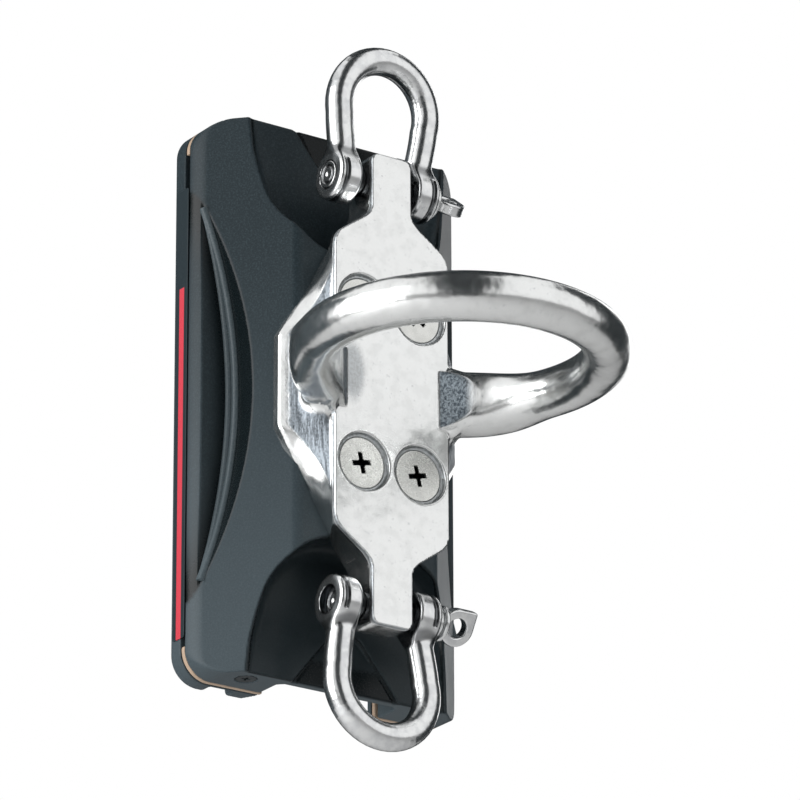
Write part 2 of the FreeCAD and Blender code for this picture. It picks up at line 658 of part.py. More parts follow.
def screw(kind, name, position, rotation):
    """Make a countersunk screw with a cross recess, the middle of its head's face at a point."""
    head, shank, rim, length = SCREWS[kind][:4]
    body = doc.addObject("PartDesign::Body", name)
    planes = {feature.Role: feature for feature in body.Origin.OriginFeatures}
    profile = body.newObject("Sketcher::SketchObject", name + "_profile")
    profile.AttachmentSupport = [(planes["XZ_Plane"], "")]
    profile.MapMode = "FlatFace"
    cone = f"(({head}) / 2 - ({shank}) / 2)"
    draw(profile, [("0", "0"), (f"({head}) / 2", "0"), (f"({head}) / 2", f"-({rim})"),
                   (f"({shank}) / 2", f"-({rim}) - {cone}"), (f"({shank}) / 2", f"-({length})"),
                   ("0", f"-({length})")])
    turned = body.newObject("PartDesign::Revolution", name + "_turned")
    turned.Profile = profile
    turned.ReferenceAxis = (profile, ["V_Axis"])
    turned.Angle = 360
    cross = body.newObject("Sketcher::SketchObject", name + "_cross")
    cross.AttachmentSupport = [(planes["XY_Plane"], "")]
    cross.MapMode = "FlatFace"
    near, far = f"({head}) * size.cross_width / 2", f"({head}) * size.cross_reach / 2"
    arm = [(far, near), (near, near), (near, far)]
    draw(cross, arm + [(f"-({x})", y) for x, y in reversed(arm)]
         + [(f"-({x})", f"-({y})") for x, y in arm] + [(x, f"-({y})") for x, y in reversed(arm)])
    recess = body.newObject("PartDesign::Pocket", name + "_recess")
    recess.Profile = cross
    bind(recess, Length=f"({head}) * size.cross_depth")
    return place(body, *position, rotation)


def build_screws():
    """Make the screws of the ring plate, of the ends and of the race covers."""
    for kind in SCREWS:
        for name, position, rotation in screw_places(kind):
            node(screw(kind, name, position, rotation), name)


# Bow shackles, each a bow and a screw pin with an eye
def bow_path(name):
    """Draw the middle line of a bow: two legs that run tangent into a round crown."""
    item = doc.addObject("Sketcher::SketchObject", name)
    item.Placement = Placement(Vector(), FRONT)
    foot = size("ear_gap") / 2 + size("ear_thickness") / 2
    centre = size("bow_reach") - size("bow_bar") / 2 - size("bow_half")
    reach = math.hypot(foot, centre)
    swing = math.acos(size("bow_half") / reach) - math.atan2(centre, foot)
    touch = Vector(size("bow_half") * math.cos(swing), centre + size("bow_half") * math.sin(-swing), 0)
    left = Vector(-touch.x, touch.y, 0)
    circle = Part.Circle(Vector(0, centre, 0), Vector(0, 0, 1), size("bow_half"))
    start = math.atan2(touch.y - centre, touch.x)
    item.addGeometry(Part.LineSegment(Vector(foot, 0, 0), touch), False)
    item.addGeometry(Part.ArcOfCircle(circle, start, math.pi - start), False)
    item.addGeometry(Part.LineSegment(left, Vector(-foot, 0, 0)), False)
    item.addConstraint(Sketcher.Constraint("Tangent", 0, 2, 1, 1))
    item.addConstraint(Sketcher.Constraint("Tangent", 1, 2, 2, 1))
    item.addConstraint(Sketcher.Constraint("PointOnObject", 1, 3, -2))
    ear = "(size.ear_gap + size.ear_thickness) / 2"
    for kind, geometry, point, number, expression in (
            ("DistanceX", 0, 1, foot, ear), ("DistanceY", 0, 1, 0, "0"),
            ("DistanceX", 2, 2, -foot, f"-{ear}"), ("DistanceY", 2, 2, 0, "0"),
            ("DistanceY", 1, 3, centre, "size.bow_reach - size.bow_bar / 2 - size.bow_half")):
        index = item.addConstraint(Sketcher.Constraint(kind, -1, 1, geometry, point, number))
        item.setExpression(f"Constraints[{index}]", expression)
    index = item.addConstraint(Sketcher.Constraint("Radius", 1, size("bow_half")))
    item.setExpression(f"Constraints[{index}]", "size.bow_half")
    return item


def bow(name):
    """Make a bow that stands up over a pin at the origin."""
    path = bow_path(name + "_path")
    ring = doc.addObject("Part::Circle", name + "_bar")
    bind(ring, Radius="size.bow_bar / 2")
    place(ring, "(size.ear_gap + size.ear_thickness) / 2")
    sweep = doc.addObject("Part::Sweep", name + "_sweep")
    sweep.Sections = [ring]
    sweep.Spine = (path, ["Edge1", "Edge2", "Edge3"])
    sweep.Solid = True
    sweep.Frenet = True
    ears = []
    for side in (-1, 1):
        start = f"-{EAR_OUTER}" if side < 0 else "size.ear_gap / 2"
        disc = cylinder(f"{name}_ear_{side + 1}", "size.ear_diameter / 2", "size.ear_thickness", x=start,
                        axis="x")
        ears.append(fillet(f"{name}_ear_round_{side + 1}", disc,
                           lambda edge: size("ear_round") if edge.Curve.TypeId == "Part::GeomCircle" else None))
    tools = [cylinder(name + "_hole", "size.pin_diameter / 2 + size.pin_thread",
                      f"2 * ({EAR_OUTER} + {OVER})", x=f"-({EAR_OUTER} + {OVER})", axis="x")]
    for side in (-1, 1):
        start = f"-({EAR_OUTER} + {PAST})" if side < 0 else EAR_OUTER
        tools.append(cylinder(f"{name}_spot_{side + 1}", f"size.ear_diameter / 2 + {OVER}", PAST, x=start,
                              axis="x"))
    return cut(name, fuse(name + "_body", sweep, *ears), *tools)


def pin(name):
    """Make a screw pin along X with a collar and a flat eye with one corner on its right."""
    shank = cylinder(name + "_shank", "size.pin_diameter / 2", f"2 * {EAR_OUTER} + {LAP}", x=f"-{EAR_OUTER}",
                     axis="x")
    collar = cylinder(name + "_collar", "size.collar_diameter / 2", "size.collar_thickness", x=EAR_OUTER,
                      axis="x")
    middle = f"({EAR_OUTER} + size.collar_thickness + size.eye_diameter / 2 - {LAP})"
    disc = cylinder(name + "_disc", "size.eye_diameter / 2", "size.eye_plate", x=middle,
                    y="-size.eye_plate / 2", axis="y")
    touch = "(size.eye_diameter ^ 2 / 4 / size.eye_tip)"
    lean = "sqrt(size.eye_diameter ^ 2 / 4 - (size.eye_diameter ^ 2 / 4 / size.eye_tip) ^ 2)"
    tip = prism(name + "_tip", [("0", "0"), (touch, f"-{lean}"), ("size.eye_tip", "0"), (touch, lean)],
                FRONT, "-size.eye_plate / 2", "size.eye_plate / 2",
                [(("size.eye_tip", "0"), "size.eye_round")])
    tip.Placement = Placement(Vector(), Rotation(Vector(0, -1, 0), 10))
    tip.setExpression("Placement.Rotation.Angle", "size.eye_lean")
    tip.setExpression("Placement.Base.x", middle)
    hole = cylinder(name + "_eye", "size.eye_hole / 2", f"size.eye_plate + 2 * {OVER}", x=middle,
                    y=f"-(size.eye_plate / 2 + {OVER})", axis="y")
    return cut(name, fuse(name + "_body", shank, collar, disc, tip), hole)


def build_shackles():
    """Make both shackles at their tongues, leaning as they hang."""
    for up, where, lean, out in ((1, "upper", "size.upper_lean", "0"),
                                 (-1, "lower", "180 - size.lower_lean", "size.lower_out")):
        place_turned(bow(f"{where}_bow"), lean, up, "0")
        place_turned(pin(f"{where}_pin"), f"size.{where}_turn", up, out)


def place_turned(item, angle, up, out):
    """Put a piece of a shackle at its tongue, turned about the pin and moved out along it."""
    node(item, item.Name)
    item.Placement = Placement(Vector(), Rotation(Vector(1, 0, 0), 10))
    item.setExpression("Placement.Rotation.Angle", angle)
    item.setExpression("Placement.Base.x", out)
    item.setExpression("Placement.Base.y", "-size.pin_rise")
    item.setExpression("Placement.Base.z", f"{up} * size.pin_height")


# Side label: a thin strip over the parting slot on the left
def build_label():
    """Make the strip that covers the left parting slot."""
    node(box("side_label", (f"-{HALF_WIDTH} - size.label_thickness", "size.label_front",
                            f"-({HALF_LENGTH} - size.label_below)"),
             (f"-{HALF_WIDTH}", "size.label_front + size.label_width",
              f"{HALF_LENGTH} - size.label_above")), "side_label_left")


def finish():
    """Check every object and write each sub-part to its file."""
    doc.recompute()
    failed = [item.Name for item in doc.Objects if "Invalid" in item.State or "Error" in item.State]
    if failed:
        raise RuntimeError(f"objects that failed: {failed}")
    for item in nodes:
        if item.Shape.isNull() or not item.Shape.isValid():
            raise RuntimeError(f"{item.Label} has no valid shape")
    os.makedirs("parts", exist_ok=True)
    for item in nodes:
        item.Shape.exportStep(f"parts/{item.Label}.step")
        bounds = item.Shape.BoundBox
        print(f"{item.Label}: {len(item.Shape.Solids)} solids, {item.Shape.Volume:.0f} mm3, "
              f"{bounds.XMin:.1f}..{bounds.XMax:.1f}, {bounds.YMin:.1f}..{bounds.YMax:.1f}, "
              f"{bounds.ZMin:.1f}..{bounds.ZMax:.1f}")


race_channel = channel("race_right", CHANNEL)
build_housing(race_channel)
build_covers(race_channel)
build_guides(race_channel)
build_balls()
build_ring_plate()
build_screws()
build_shackles()
build_label()
finish()
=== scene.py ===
"""Looks of a mast-track car with a ring plate and two bow shackles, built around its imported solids.

Shapes are written in millimetres as distance fields: a function that is negative inside the piece, zero
on its surface and positive outside. X points right, Z up along the track, and the front looks along -Y.
"""
import itertools
import logging
import math
from dataclasses import dataclass, field
from enum import Enum
from typing import Callable, Iterable, Sequence

import bpy
import numpy as np
from mathutils import Matrix, Vector


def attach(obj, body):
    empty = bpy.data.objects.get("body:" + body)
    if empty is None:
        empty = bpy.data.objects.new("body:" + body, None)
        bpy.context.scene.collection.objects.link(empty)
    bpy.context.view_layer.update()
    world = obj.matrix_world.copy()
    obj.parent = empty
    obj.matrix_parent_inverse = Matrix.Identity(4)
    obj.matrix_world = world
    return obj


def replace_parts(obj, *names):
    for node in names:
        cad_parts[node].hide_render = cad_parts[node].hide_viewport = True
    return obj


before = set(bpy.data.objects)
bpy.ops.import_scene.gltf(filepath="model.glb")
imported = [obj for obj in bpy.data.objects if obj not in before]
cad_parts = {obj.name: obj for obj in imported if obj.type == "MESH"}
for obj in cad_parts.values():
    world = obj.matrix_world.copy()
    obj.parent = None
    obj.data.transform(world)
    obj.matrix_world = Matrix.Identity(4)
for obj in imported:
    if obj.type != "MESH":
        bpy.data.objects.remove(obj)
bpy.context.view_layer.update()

LOG = logging.getLogger("pole_car")
MM = 0.001
Field = Callable[[np.ndarray, np.ndarray, np.ndarray], np.ndarray]


# Distances and the ways to put them together
def meet(a: np.ndarray, b: np.ndarray, radius: float = 0.3) -> np.ndarray:
    """Keep what two shapes share, with a rounded edge.

    Args:
        a: Distance to the first shape.
        b: Distance to the second shape.
        radius: Radius of the edge between them.

    Returns:
        Distance to the shared shape.
    """
    edge = np.hypot(np.maximum(a + radius, 0), np.maximum(b + radius, 0))
    return np.minimum(np.maximum(a, b), -radius) + edge


def join(a: np.ndarray, b: np.ndarray, radius: float = 0.3) -> np.ndarray:
    """Put two shapes together, with a fillet where they meet.

    Args:
        a: Distance to the first shape.
        b: Distance to the second shape.
        radius: Radius of the fillet.

    Returns:
        Distance to the joined shape.
    """
    fillet = np.hypot(np.maximum(radius - a, 0), np.maximum(radius - b, 0))
    return np.maximum(np.minimum(a, b), radius) - fillet


def carve(a: np.ndarray, b: np.ndarray, radius: float = 0.3) -> np.ndarray:
    """Take a shape away from another, with a rounded rim."""
    return meet(a, -b, radius)


def ease(value: np.ndarray, low: float, high: float) -> np.ndarray:
    """Turn a value smoothly from 0 at one bound into 1 at the other.

    Args:
        value: Values to ease.
        low: Value that gives 0.
        high: Value that gives 1.

    Returns:
        Values from 0 to 1.
    """
    share = np.clip((value - low) / (high - low), 0, 1)
    return share * share * (3 - 2 * share)


def slope(u: np.ndarray, v: np.ndarray, start: Sequence[float], end: Sequence[float]) -> np.ndarray:
    """Measure the distance from a straight line, positive on the right of the way from start to end.

    Args:
        u: First coordinate of the points.
        v: Second coordinate of the points.
        start: A point of the line.
        end: Another point of the line.

    Returns:
        Signed distance from the line.
    """
    across, along = end[0] - start[0], end[1] - start[1]
    return ((u - start[0]) * along - (v - start[1]) * across) / math.hypot(across, along)


@dataclass(frozen=True)
class Outline:
    """A closed outline of straight runs, each corner with its own radius.

    Attributes:
        corners: Corners as (u, v, radius), in order round the outline.
        steps: Number of straight pieces of each rounded corner.
    """

    corners: tuple[tuple[float, float, float], ...]
    steps: int = 7

    def points(self) -> np.ndarray:
        """Work out the outline's points, corners rounded.

        Returns:
            Array of (u, v) points.
        """
        found = []
        count = len(self.corners)
        for number, (u, v, radius) in enumerate(self.corners):
            here = np.array((u, v))
            if radius <= 0:
                found.append(here)
                continue
            back = np.array(self.corners[number - 1][:2]) - here
            ahead = np.array(self.corners[(number + 1) % count][:2]) - here
            back, ahead = back / np.linalg.norm(back), ahead / np.linalg.norm(ahead)
            half = math.acos(float(np.clip(back @ ahead, -1, 1))) / 2
            middle = here + (back + ahead) / np.linalg.norm(back + ahead) * radius / math.sin(half)
            first = here + back * radius / math.tan(half) - middle
            last = here + ahead * radius / math.tan(half) - middle
            start, end = math.atan2(first[1], first[0]), math.atan2(last[1], last[0])
            turn = (end - start + math.pi) % (2 * math.pi) - math.pi
            angles = start + turn * np.linspace(0, 1, self.steps + 1)
            found += [middle + radius * np.array((math.cos(a), math.sin(a))) for a in angles]
        return np.array(found)

    def distance(self, u: np.ndarray, v: np.ndarray) -> np.ndarray:
        """Measure the distance to the outline.

        Args:
            u: First coordinate of the points.
            v: Second coordinate of the points.

        Returns:
            Distance, negative inside.
        """
        points = self.points()
        u, v = np.broadcast_arrays(u, v)
        best = np.full(u.shape, 1e9)
        inside = np.zeros(u.shape, bool)
        for (u0, v0), (u1, v1) in zip(points, np.roll(points, -1, axis=0)):
            du, dv = u1 - u0, v1 - v0
            length = du * du + dv * dv
            if length < 1e-12:
                continue
            pu, pv = u - u0, v - v0
            share = np.clip((pu * du + pv * dv) / length, 0, 1)
            best = np.minimum(best, (pu - share * du) ** 2 + (pv - share * dv) ** 2)
            if abs(dv) > 1e-12:
                inside ^= ((v0 <= v) != (v1 <= v)) & (pu < pv * du / dv)
        return np.where(inside, -1.0, 1.0) * np.sqrt(best)


# From a distance field to a mesh
@dataclass
class Shell:
    """A closed surface: its points, triangles, normals and values that a finish reads.

    Attributes:
        points: Points in millimetres.
        faces: Corner numbers of each face.
        normals: Normal at each point.
        marks: Named value at each point.
    """

    points: np.ndarray
    faces: np.ndarray
    normals: np.ndarray | None = None
    marks: dict[str, np.ndarray] = field(default_factory=dict)

    def moved(self, matrix: Matrix) -> "Shell":
        """Return the surface turned and moved.

        Args:
            matrix: Turn and move in millimetres, which may mirror.

        Returns:
            The moved surface.
        """
        full = np.array(matrix)
        turn, shift = full[:3, :3], full[:3, 3]
        faces = self.faces[:, ::-1] if np.linalg.det(turn) < 0 else self.faces
        return Shell(self.points @ turn.T + shift, faces, self.normals @ turn.T, self.marks)

    def mesh(self, name: str) -> bpy.types.Mesh:
        """Make a mesh in metres.

        Args:
            name: Name of the mesh.

        Returns:
            The mesh, smooth, with its normals and values.
        """
        mesh = bpy.data.meshes.new(name)
        sides = self.faces.shape[1]
        mesh.vertices.add(len(self.points))
        mesh.vertices.foreach_set("co", (self.points * MM).astype(np.float32).ravel())
        mesh.loops.add(self.faces.size)
        mesh.loops.foreach_set("vertex_index", self.faces.astype(np.int32).ravel())
        mesh.polygons.add(len(self.faces))
        mesh.polygons.foreach_set("loop_start", np.arange(0, self.faces.size, sides, dtype=np.int32))
        mesh.update(calc_edges=True)
        mesh.shade_smooth()
        for mark, values in self.marks.items():
            mesh.attributes.new(mark, "FLOAT", "POINT").data.foreach_set("value", values.astype(np.float32))
        if self.normals is not None:
            mesh.normals_split_custom_set_from_vertices(self.normals.tolist())
        return mesh

    def build(self, name: str) -> bpy.types.Object:
        """Make an object of the surface, at the origin."""
        return add_object(name, self.mesh(name))


def add_object(name: str, data: bpy.types.ID) -> bpy.types.Object:
    """Add an object to the scene.

    Args:
        name: Name of the object.
        data: Its mesh, lamp or camera.

    Returns:
        The object.
    """
    item = bpy.data.objects.new(name, data)
    bpy.context.scene.collection.objects.link(item)
    return item


def plain_mesh(item: bpy.types.Object, name: str) -> bpy.types.Mesh:
    """Bake an object's modifiers.

    Args:
        item: Object with modifiers.
        name: Name of the new mesh.

    Returns:
        A mesh with the modifiers' result.
    """
    graph = bpy.context.evaluated_depsgraph_get()
    mesh = bpy.data.meshes.new_from_object(item.evaluated_get(graph), depsgraph=graph)
    mesh.name = name
    return mesh


@dataclass(frozen=True)
class Mould:
    """Turns a distance field into a surface.

    Attributes:
        low: Lowest corner of the space that holds the piece, in millimetres.
        high: Highest corner.
        step: Distance between the points where the field is read.
        budget: Most triangles that the piece may have.
    """

    low: tuple[float, float, float]
    high: tuple[float, float, float]
    step: float
    budget: int

    def cast(self, shape: Field, marks: dict[str, Field] | None = None) -> Shell:
        """Make the surface of a field.

        Args:
            shape: Distance field of the piece.
            marks: Named values that the piece's finish reads, as fields.

        Returns:
            The surface with its normals.
        """
        shell = self.net(shape)
        if 2 * len(shell.faces) > self.budget:
            shell = self.thinned(shell)
        points = shell.points
        for _ in range(3):
            value, gradient = self.gradient(shape, points)
            length = np.maximum((gradient ** 2).sum(axis=1), 0.2)
            move = np.clip(value / length, -self.step / 2, self.step / 2)
            points = points - gradient * move[:, None]
        _, gradient = self.gradient(shape, points)
        normals = gradient / np.maximum(np.linalg.norm(gradient, axis=1, keepdims=True), 1e-9)
        values = {name: np.asarray(rule(*points.T), float) for name, rule in (marks or {}).items()}
        return Shell(points, shell.faces, normals, values)

    def gradient(self, shape: Field, points: np.ndarray) -> tuple[np.ndarray, np.ndarray]:
        """Read a field and its gradient.

        Args:
            shape: Distance field.
            points: Points to read it at.

        Returns:
            The field's value and gradient at each point.
        """
        reach = 0.04
        total = np.zeros_like(points)
        for sign in ((1, -1, -1), (-1, -1, 1), (-1, 1, -1), (1, 1, 1)):
            corner = np.array(sign, float)
            total += shape(*(points + reach * corner).T)[:, None] * corner
        return shape(*points.T), total / (4 * reach)

    def net(self, shape: Field) -> Shell:
        """Lay a net of four-sided faces over the surface.

        Args:
            shape: Distance field.

        Returns:
            The net.
        """
        step = self.step
        x, y, z = [np.arange(low - 2 * step, high + 3 * step, step) for low, high in zip(self.low, self.high)]
        value = shape(x[:, None, None], y[None, :, None], z[None, None, :]).astype(np.float32)
        # The cells that the surface passes through
        inside = value < 0
        limits = np.array(value.shape) - 1
        mixed = np.zeros(limits, bool)
        first = inside[:-1, :-1, :-1]
        for corner in itertools.product((0, 1), repeat=3):
            window = tuple(slice(c, c + n) for c, n in zip(corner, limits))
            mixed |= inside[window] != first
        cells = np.argwhere(mixed)
        number = np.full(limits, -1, np.int64)
        number[mixed] = np.arange(len(cells))
        total, count = np.zeros((len(cells), 3)), np.zeros(len(cells))
        faces = []
        units = np.eye(3, dtype=int)
        for axis in range(3):
            sides = [(axis + 1) % 3, (axis + 2) % 3]
            unit, (second, third) = units[axis], units[sides]
            # Each cell's point is the middle of where the surface crosses its edges
            for i, j in itertools.product((0, 1), repeat=2):
                corner = second * i + third * j
                here = value[tuple((cells + corner).T)]
                there = value[tuple((cells + corner + unit).T)]
                crossed = (here < 0) != (there < 0)
                share = here[crossed] / (here[crossed] - there[crossed])
                total[crossed] += corner + share[:, None] * unit
                count[crossed] += 1
            # A face joins the points of the four cells round each crossed edge
            start = inside[tuple(slice(0, n - u) for n, u in zip(value.shape, unit))]
            end = inside[tuple(slice(u, n) for n, u in zip(value.shape, unit))]
            edges = np.argwhere(start != end)
            edges = edges[np.all((edges[:, sides] > 0) & (edges[:, sides] < limits[sides]), axis=1)]
            ring = [edges - second - third, edges - third, edges, edges - second]
            quads = np.stack([number[tuple(cell.T)] for cell in ring], axis=1)
            outward = start[tuple(edges.T)]
            faces += [quads[outward], quads[~outward][:, ::-1]]
        origin = np.array((x[0], y[0], z[0]))
        return Shell(origin + (cells + total / count[:, None]) * step, np.concatenate(faces))

    def thinned(self, shell: Shell) -> Shell:
        """Merge faces where the surface is flat, until the piece keeps to its budget.

        Args:
            shell: Surface with too many faces.

        Returns:
            The surface with fewer faces.
        """
        item = shell.build("thinning")
        modifier = item.modifiers.new("thin", "DECIMATE")
        modifier.ratio = self.budget / (2 * len(shell.faces))
        mesh = plain_mesh(item, "thinned")
        mesh.calc_loop_triangles()
        points = np.empty(3 * len(mesh.vertices), np.float32)
        mesh.vertices.foreach_get("co", points)
        faces = np.empty(3 * len(mesh.loop_triangles), np.int32)
        mesh.loop_triangles.foreach_get("vertices", faces)
        source = item.data
        bpy.data.objects.remove(item)
        bpy.data.meshes.remove(source)
        bpy.data.meshes.remove(mesh)
        return Shell(points.reshape(-1, 3).astype(float) / MM, faces.reshape(-1, 3))


# Node trees
class Signal:
    """A value in a shader tree that takes part in sums and products.

    Attributes:
        tree: Tree that the value is in.
        socket: Socket that gives it.
    """

    def __init__(self, tree: "Tree", socket: bpy.types.NodeSocket) -> None:
        """Wrap a socket of a tree."""
        self.tree, self.socket = tree, socket

    def math(self, operation: str, *values: object) -> "Signal":
        """Add a Math node.

        Args:
            operation: Name of the operation.
            values: Numbers, signals or sockets for its inputs.

        Returns:
            The node's result.
        """
        node = self.tree.node("ShaderNodeMath", {"operation": operation}, dict(enumerate(values)))
        return Signal(self.tree, node.outputs[0])

    def __add__(self, other: object) -> "Signal":
        """Add a number or signal."""
        return self.math("ADD", self, other)

    def __sub__(self, other: object) -> "Signal":
        """Take a number or signal away."""
        return self.math("SUBTRACT", self, other)

    def __rsub__(self, other: object) -> "Signal":
        """Take this away from a number."""
        return self.math("SUBTRACT", other, self)

    def __mul__(self, other: object) -> "Signal":
        """Multiply by a number or signal."""
        return self.math("MULTIPLY", self, other)

    __radd__ = __add__
    __rmul__ = __mul__

    def between(self, low: float, high: float) -> "Signal":
        """Turn the value smoothly from 0 at one bound into 1 at the other.

        Args:
            low: Value that gives 0.
            high: Value that gives 1.

        Returns:
            A value from 0 to 1.
        """
        node = self.tree.node("ShaderNodeMapRange", {"interpolation_type": "SMOOTHSTEP"},
                              {"Value": self, "From Min": low, "From Max": high})
        return Signal(self.tree, node.outputs[0])

    def band(self, low: float, high: float, soft: float) -> "Signal":
        """Give 1 between two bounds and 0 outside, with soft ends."""
        return self.between(low - soft, low + soft) * (1 - self.between(high - soft, high + soft))


class NodeTree:
    """A tree of any kind that is built node by node.

    Attributes:
        tree: The tree.
    """

    def __init__(self, tree: bpy.types.NodeTree) -> None:
        """Wrap a tree."""
        self.tree = tree

    def node(self, kind: str, settings: dict[str, object] | None = None,
             values: dict[object, object] | None = None) -> bpy.types.Node:
        """Add a node.

        Args:
            kind: Type of the node.
            settings: Properties that are set first.
            values: Number, colour, signal or socket for each input, by name or number.

        Returns:
            The node.
        """
        node = self.tree.nodes.new(kind)
        for name, value in (settings or {}).items():
            setattr(node, name, value)
        for name, value in (values or {}).items():
            if isinstance(value, Signal):
                value = value.socket
            if isinstance(value, bpy.types.NodeSocket):
                self.tree.links.new(value, node.inputs[name])
            else:
                node.inputs[name].default_value = value
        return node


class Tree(NodeTree):
    """The shader tree of a material or of the world, empty at first.

    Attributes:
        owner: Material or world that the tree is for.
    """

    def __init__(self, owner: bpy.types.Material | bpy.types.World) -> None:
        """Empty the tree of a material or world.

        Args:
            owner: The material or world.
        """
        owner.use_nodes = True
        super().__init__(owner.node_tree)
        self.tree.nodes.clear()
        self.owner = owner

    def place(self) -> bpy.types.NodeSocket:
        """Give the point of the surface in millimetres, in the piece's own frame.

        Returns:
            A vector socket.
        """
        coordinates = self.node("ShaderNodeTexCoord")
        scaled = self.node("ShaderNodeVectorMath", {"operation": "SCALE"},
                           {0: coordinates.outputs["Object"], "Scale": 1 / MM})
        return scaled.outputs[0]

    def axes(self, place: bpy.types.NodeSocket) -> tuple[Signal, Signal, Signal]:
        """Split a vector into its three values.

        Args:
            place: Vector socket.

        Returns:
            Its X, Y and Z.
        """
        parts = self.node("ShaderNodeSeparateXYZ", values={0: place}).outputs
        return Signal(self, parts[0]), Signal(self, parts[1]), Signal(self, parts[2])

    def stretched(self, place: bpy.types.NodeSocket, scale: Sequence[float]) -> bpy.types.NodeSocket:
        """Scale a vector by an amount along each axis.

        Args:
            place: Vector socket.
            scale: Factor along each axis.

        Returns:
            The scaled vector.
        """
        return self.node("ShaderNodeVectorMath", {"operation": "MULTIPLY"}, {0: place, 1: scale}).outputs[0]

    def noise(self, place: bpy.types.NodeSocket, scale: float, detail: float = 2.0,
              rough: float = 0.5) -> Signal:
        """Add a noise pattern.

        Args:
            place: Where it is read.
            scale: Number of its cells in a millimetre.
            detail: How many finer layers it has.
            rough: Weight of the finer layers.

        Returns:
            A value about 0.5.
        """
        node = self.node("ShaderNodeTexNoise", {"noise_dimensions": "3D"},
                         {"Vector": place, "Scale": scale, "Detail": detail, "Roughness": rough})
        return Signal(self, node.outputs[0])

    def mark(self, name: str) -> Signal:
        """Read a named value of the surface."""
        return Signal(self, self.node("ShaderNodeAttribute", {"attribute_name": name}).outputs["Fac"])

    def tint(self, share: object, first: object, second: object) -> bpy.types.NodeSocket:
        """Mix two colours.

        Args:
            share: Share of the second colour.
            first: First colour.
            second: Second colour.

        Returns:
            A colour socket.
        """
        settings = {"data_type": "RGBA", "blend_type": "MIX"}
        node = self.node("ShaderNodeMix", settings, {0: share, 6: first, 7: second})
        return node.outputs[2]

    def bump(self, height: Signal, depth: float, strength: float = 1.0,
             normal: bpy.types.NodeSocket | None = None) -> bpy.types.NodeSocket:
        """Add a relief.

        Args:
            height: Height from 0 to 1.
            depth: Depth of the relief in millimetres.
            strength: Share of the relief that shows.
            normal: Normal of a relief below this one.

        Returns:
            The new normal.
        """
        values = {"Height": height, "Distance": depth * MM, "Strength": strength}
        if normal is not None:
            values["Normal"] = normal
        return self.node("ShaderNodeBump", values=values).outputs[0]

    def surface(self, **values: object) -> bpy.types.Material:
        """End the tree in one surface shader.

        Args:
            values: Inputs of the shader, spaces in their names written as underscores.

        Returns:
            The material.
        """
        shader = self.node("ShaderNodeBsdfPrincipled",
                           values={name.replace("_", " "): value for name, value in values.items()})
        self.node("ShaderNodeOutputMaterial", values={"Surface": shader.outputs[0]})
        return self.owner


Colour = tuple[float, float, float, float]


def colour(red: float, green: float, blue: float) -> Colour:
    """Return an opaque colour."""
    return (red, green, blue, 1.0)


# Finishes
class Finish:
    """What a finish can do: make its material once and put it on pieces.

    Attributes:
        name: Name of the material.
        slot: Name of a material slot, not used by this script.
    """

    name: str
    slot: str

    def material(self) -> bpy.types.Material:
        """Return the finish's material, made at its first use."""
        return bpy.data.materials.get(self.name) or self.paint(Tree(bpy.data.materials.new(self.name)))

    def paint(self, tree: Tree) -> bpy.types.Material:
        """Build the material's nodes."""
        raise NotImplementedError

    def dress(self, item: bpy.types.Object) -> bpy.types.Object:
        """Put the finish on a piece.

        Args:
            item: The piece.

        Returns:
            The piece.
        """
        item.data.materials.clear()
        item.data.materials.append(self.material())
        return item


@dataclass(frozen=True)
class BlastedBlack(Finish):
    """Hard black finish over a bead-blasted surface. The surface's value hollow tells where shade is painted
    dark into it.

    Attributes:
        name: Name of the material.
        slot: Name of a material slot, not used by this script.
        dark: Colour of the finish.
        light: Colour of its brighter grains.
        second_tone: Paler colour painted towards the lower end as painted light, where the light falls
            brighter.
        hollow: Colour of the painted shade in its hollows and along its rims.
        rough: Roughness.
        grain: Number of grains in a millimetre.
        depth: Depth of the grain in millimetres.
        painted_light_heights: Heights between which the painted light of the lower end fades out, in
            millimetres.
    """

    name: str = "blasted_black"
    slot: str = "anodised"
    dark: Colour = colour(0.016, 0.025, 0.030)
    light: Colour = colour(0.033, 0.048, 0.056)
    second_tone: Colour = colour(0.080, 0.104, 0.118)
    hollow: Colour = colour(0.001, 0.003, 0.0035)
    rough: float = 0.44
    grain: float = 2.6
    depth: float = 0.02
    painted_light_heights: tuple[float, float] = (-75.0, 45.0)

    def paint(self, tree: Tree) -> bpy.types.Material:
        """Build a fine grain with slightly uneven colour and gloss, with painted light towards the lower end
        and painted shade in the hollows.

        Args:
            tree: Empty tree.

        Returns:
            The material.
        """
        place = tree.place()
        fine = tree.noise(place, self.grain, 3.0, 0.65)
        broad = tree.noise(place, 0.11, 2.0)
        base = tree.tint(fine.between(0.42, 0.75), self.dark, self.light)
        _, _, height = tree.axes(place)
        # Painted light: the finish is painted paler towards the lower end, where the light falls brighter
        low = 1 - height.between(*self.painted_light_heights)
        base = tree.tint(low * (0.5 + fine * 0.3), base, self.second_tone)
        # Painted shade: scallop walls, scoop rims and the lower scoop are painted darker where shade falls
        base = tree.tint(tree.mark("hollow"), base, self.hollow)
        rough = self.rough + (fine - 0.5) * 0.16 + (broad - 0.5) * 0.08 - tree.mark("hollow") * 0.2
        normal = tree.bump(fine, self.depth)
        return tree.surface(Base_Color=base, Roughness=rough, Specular_IOR_Level=0.19, Normal=normal)


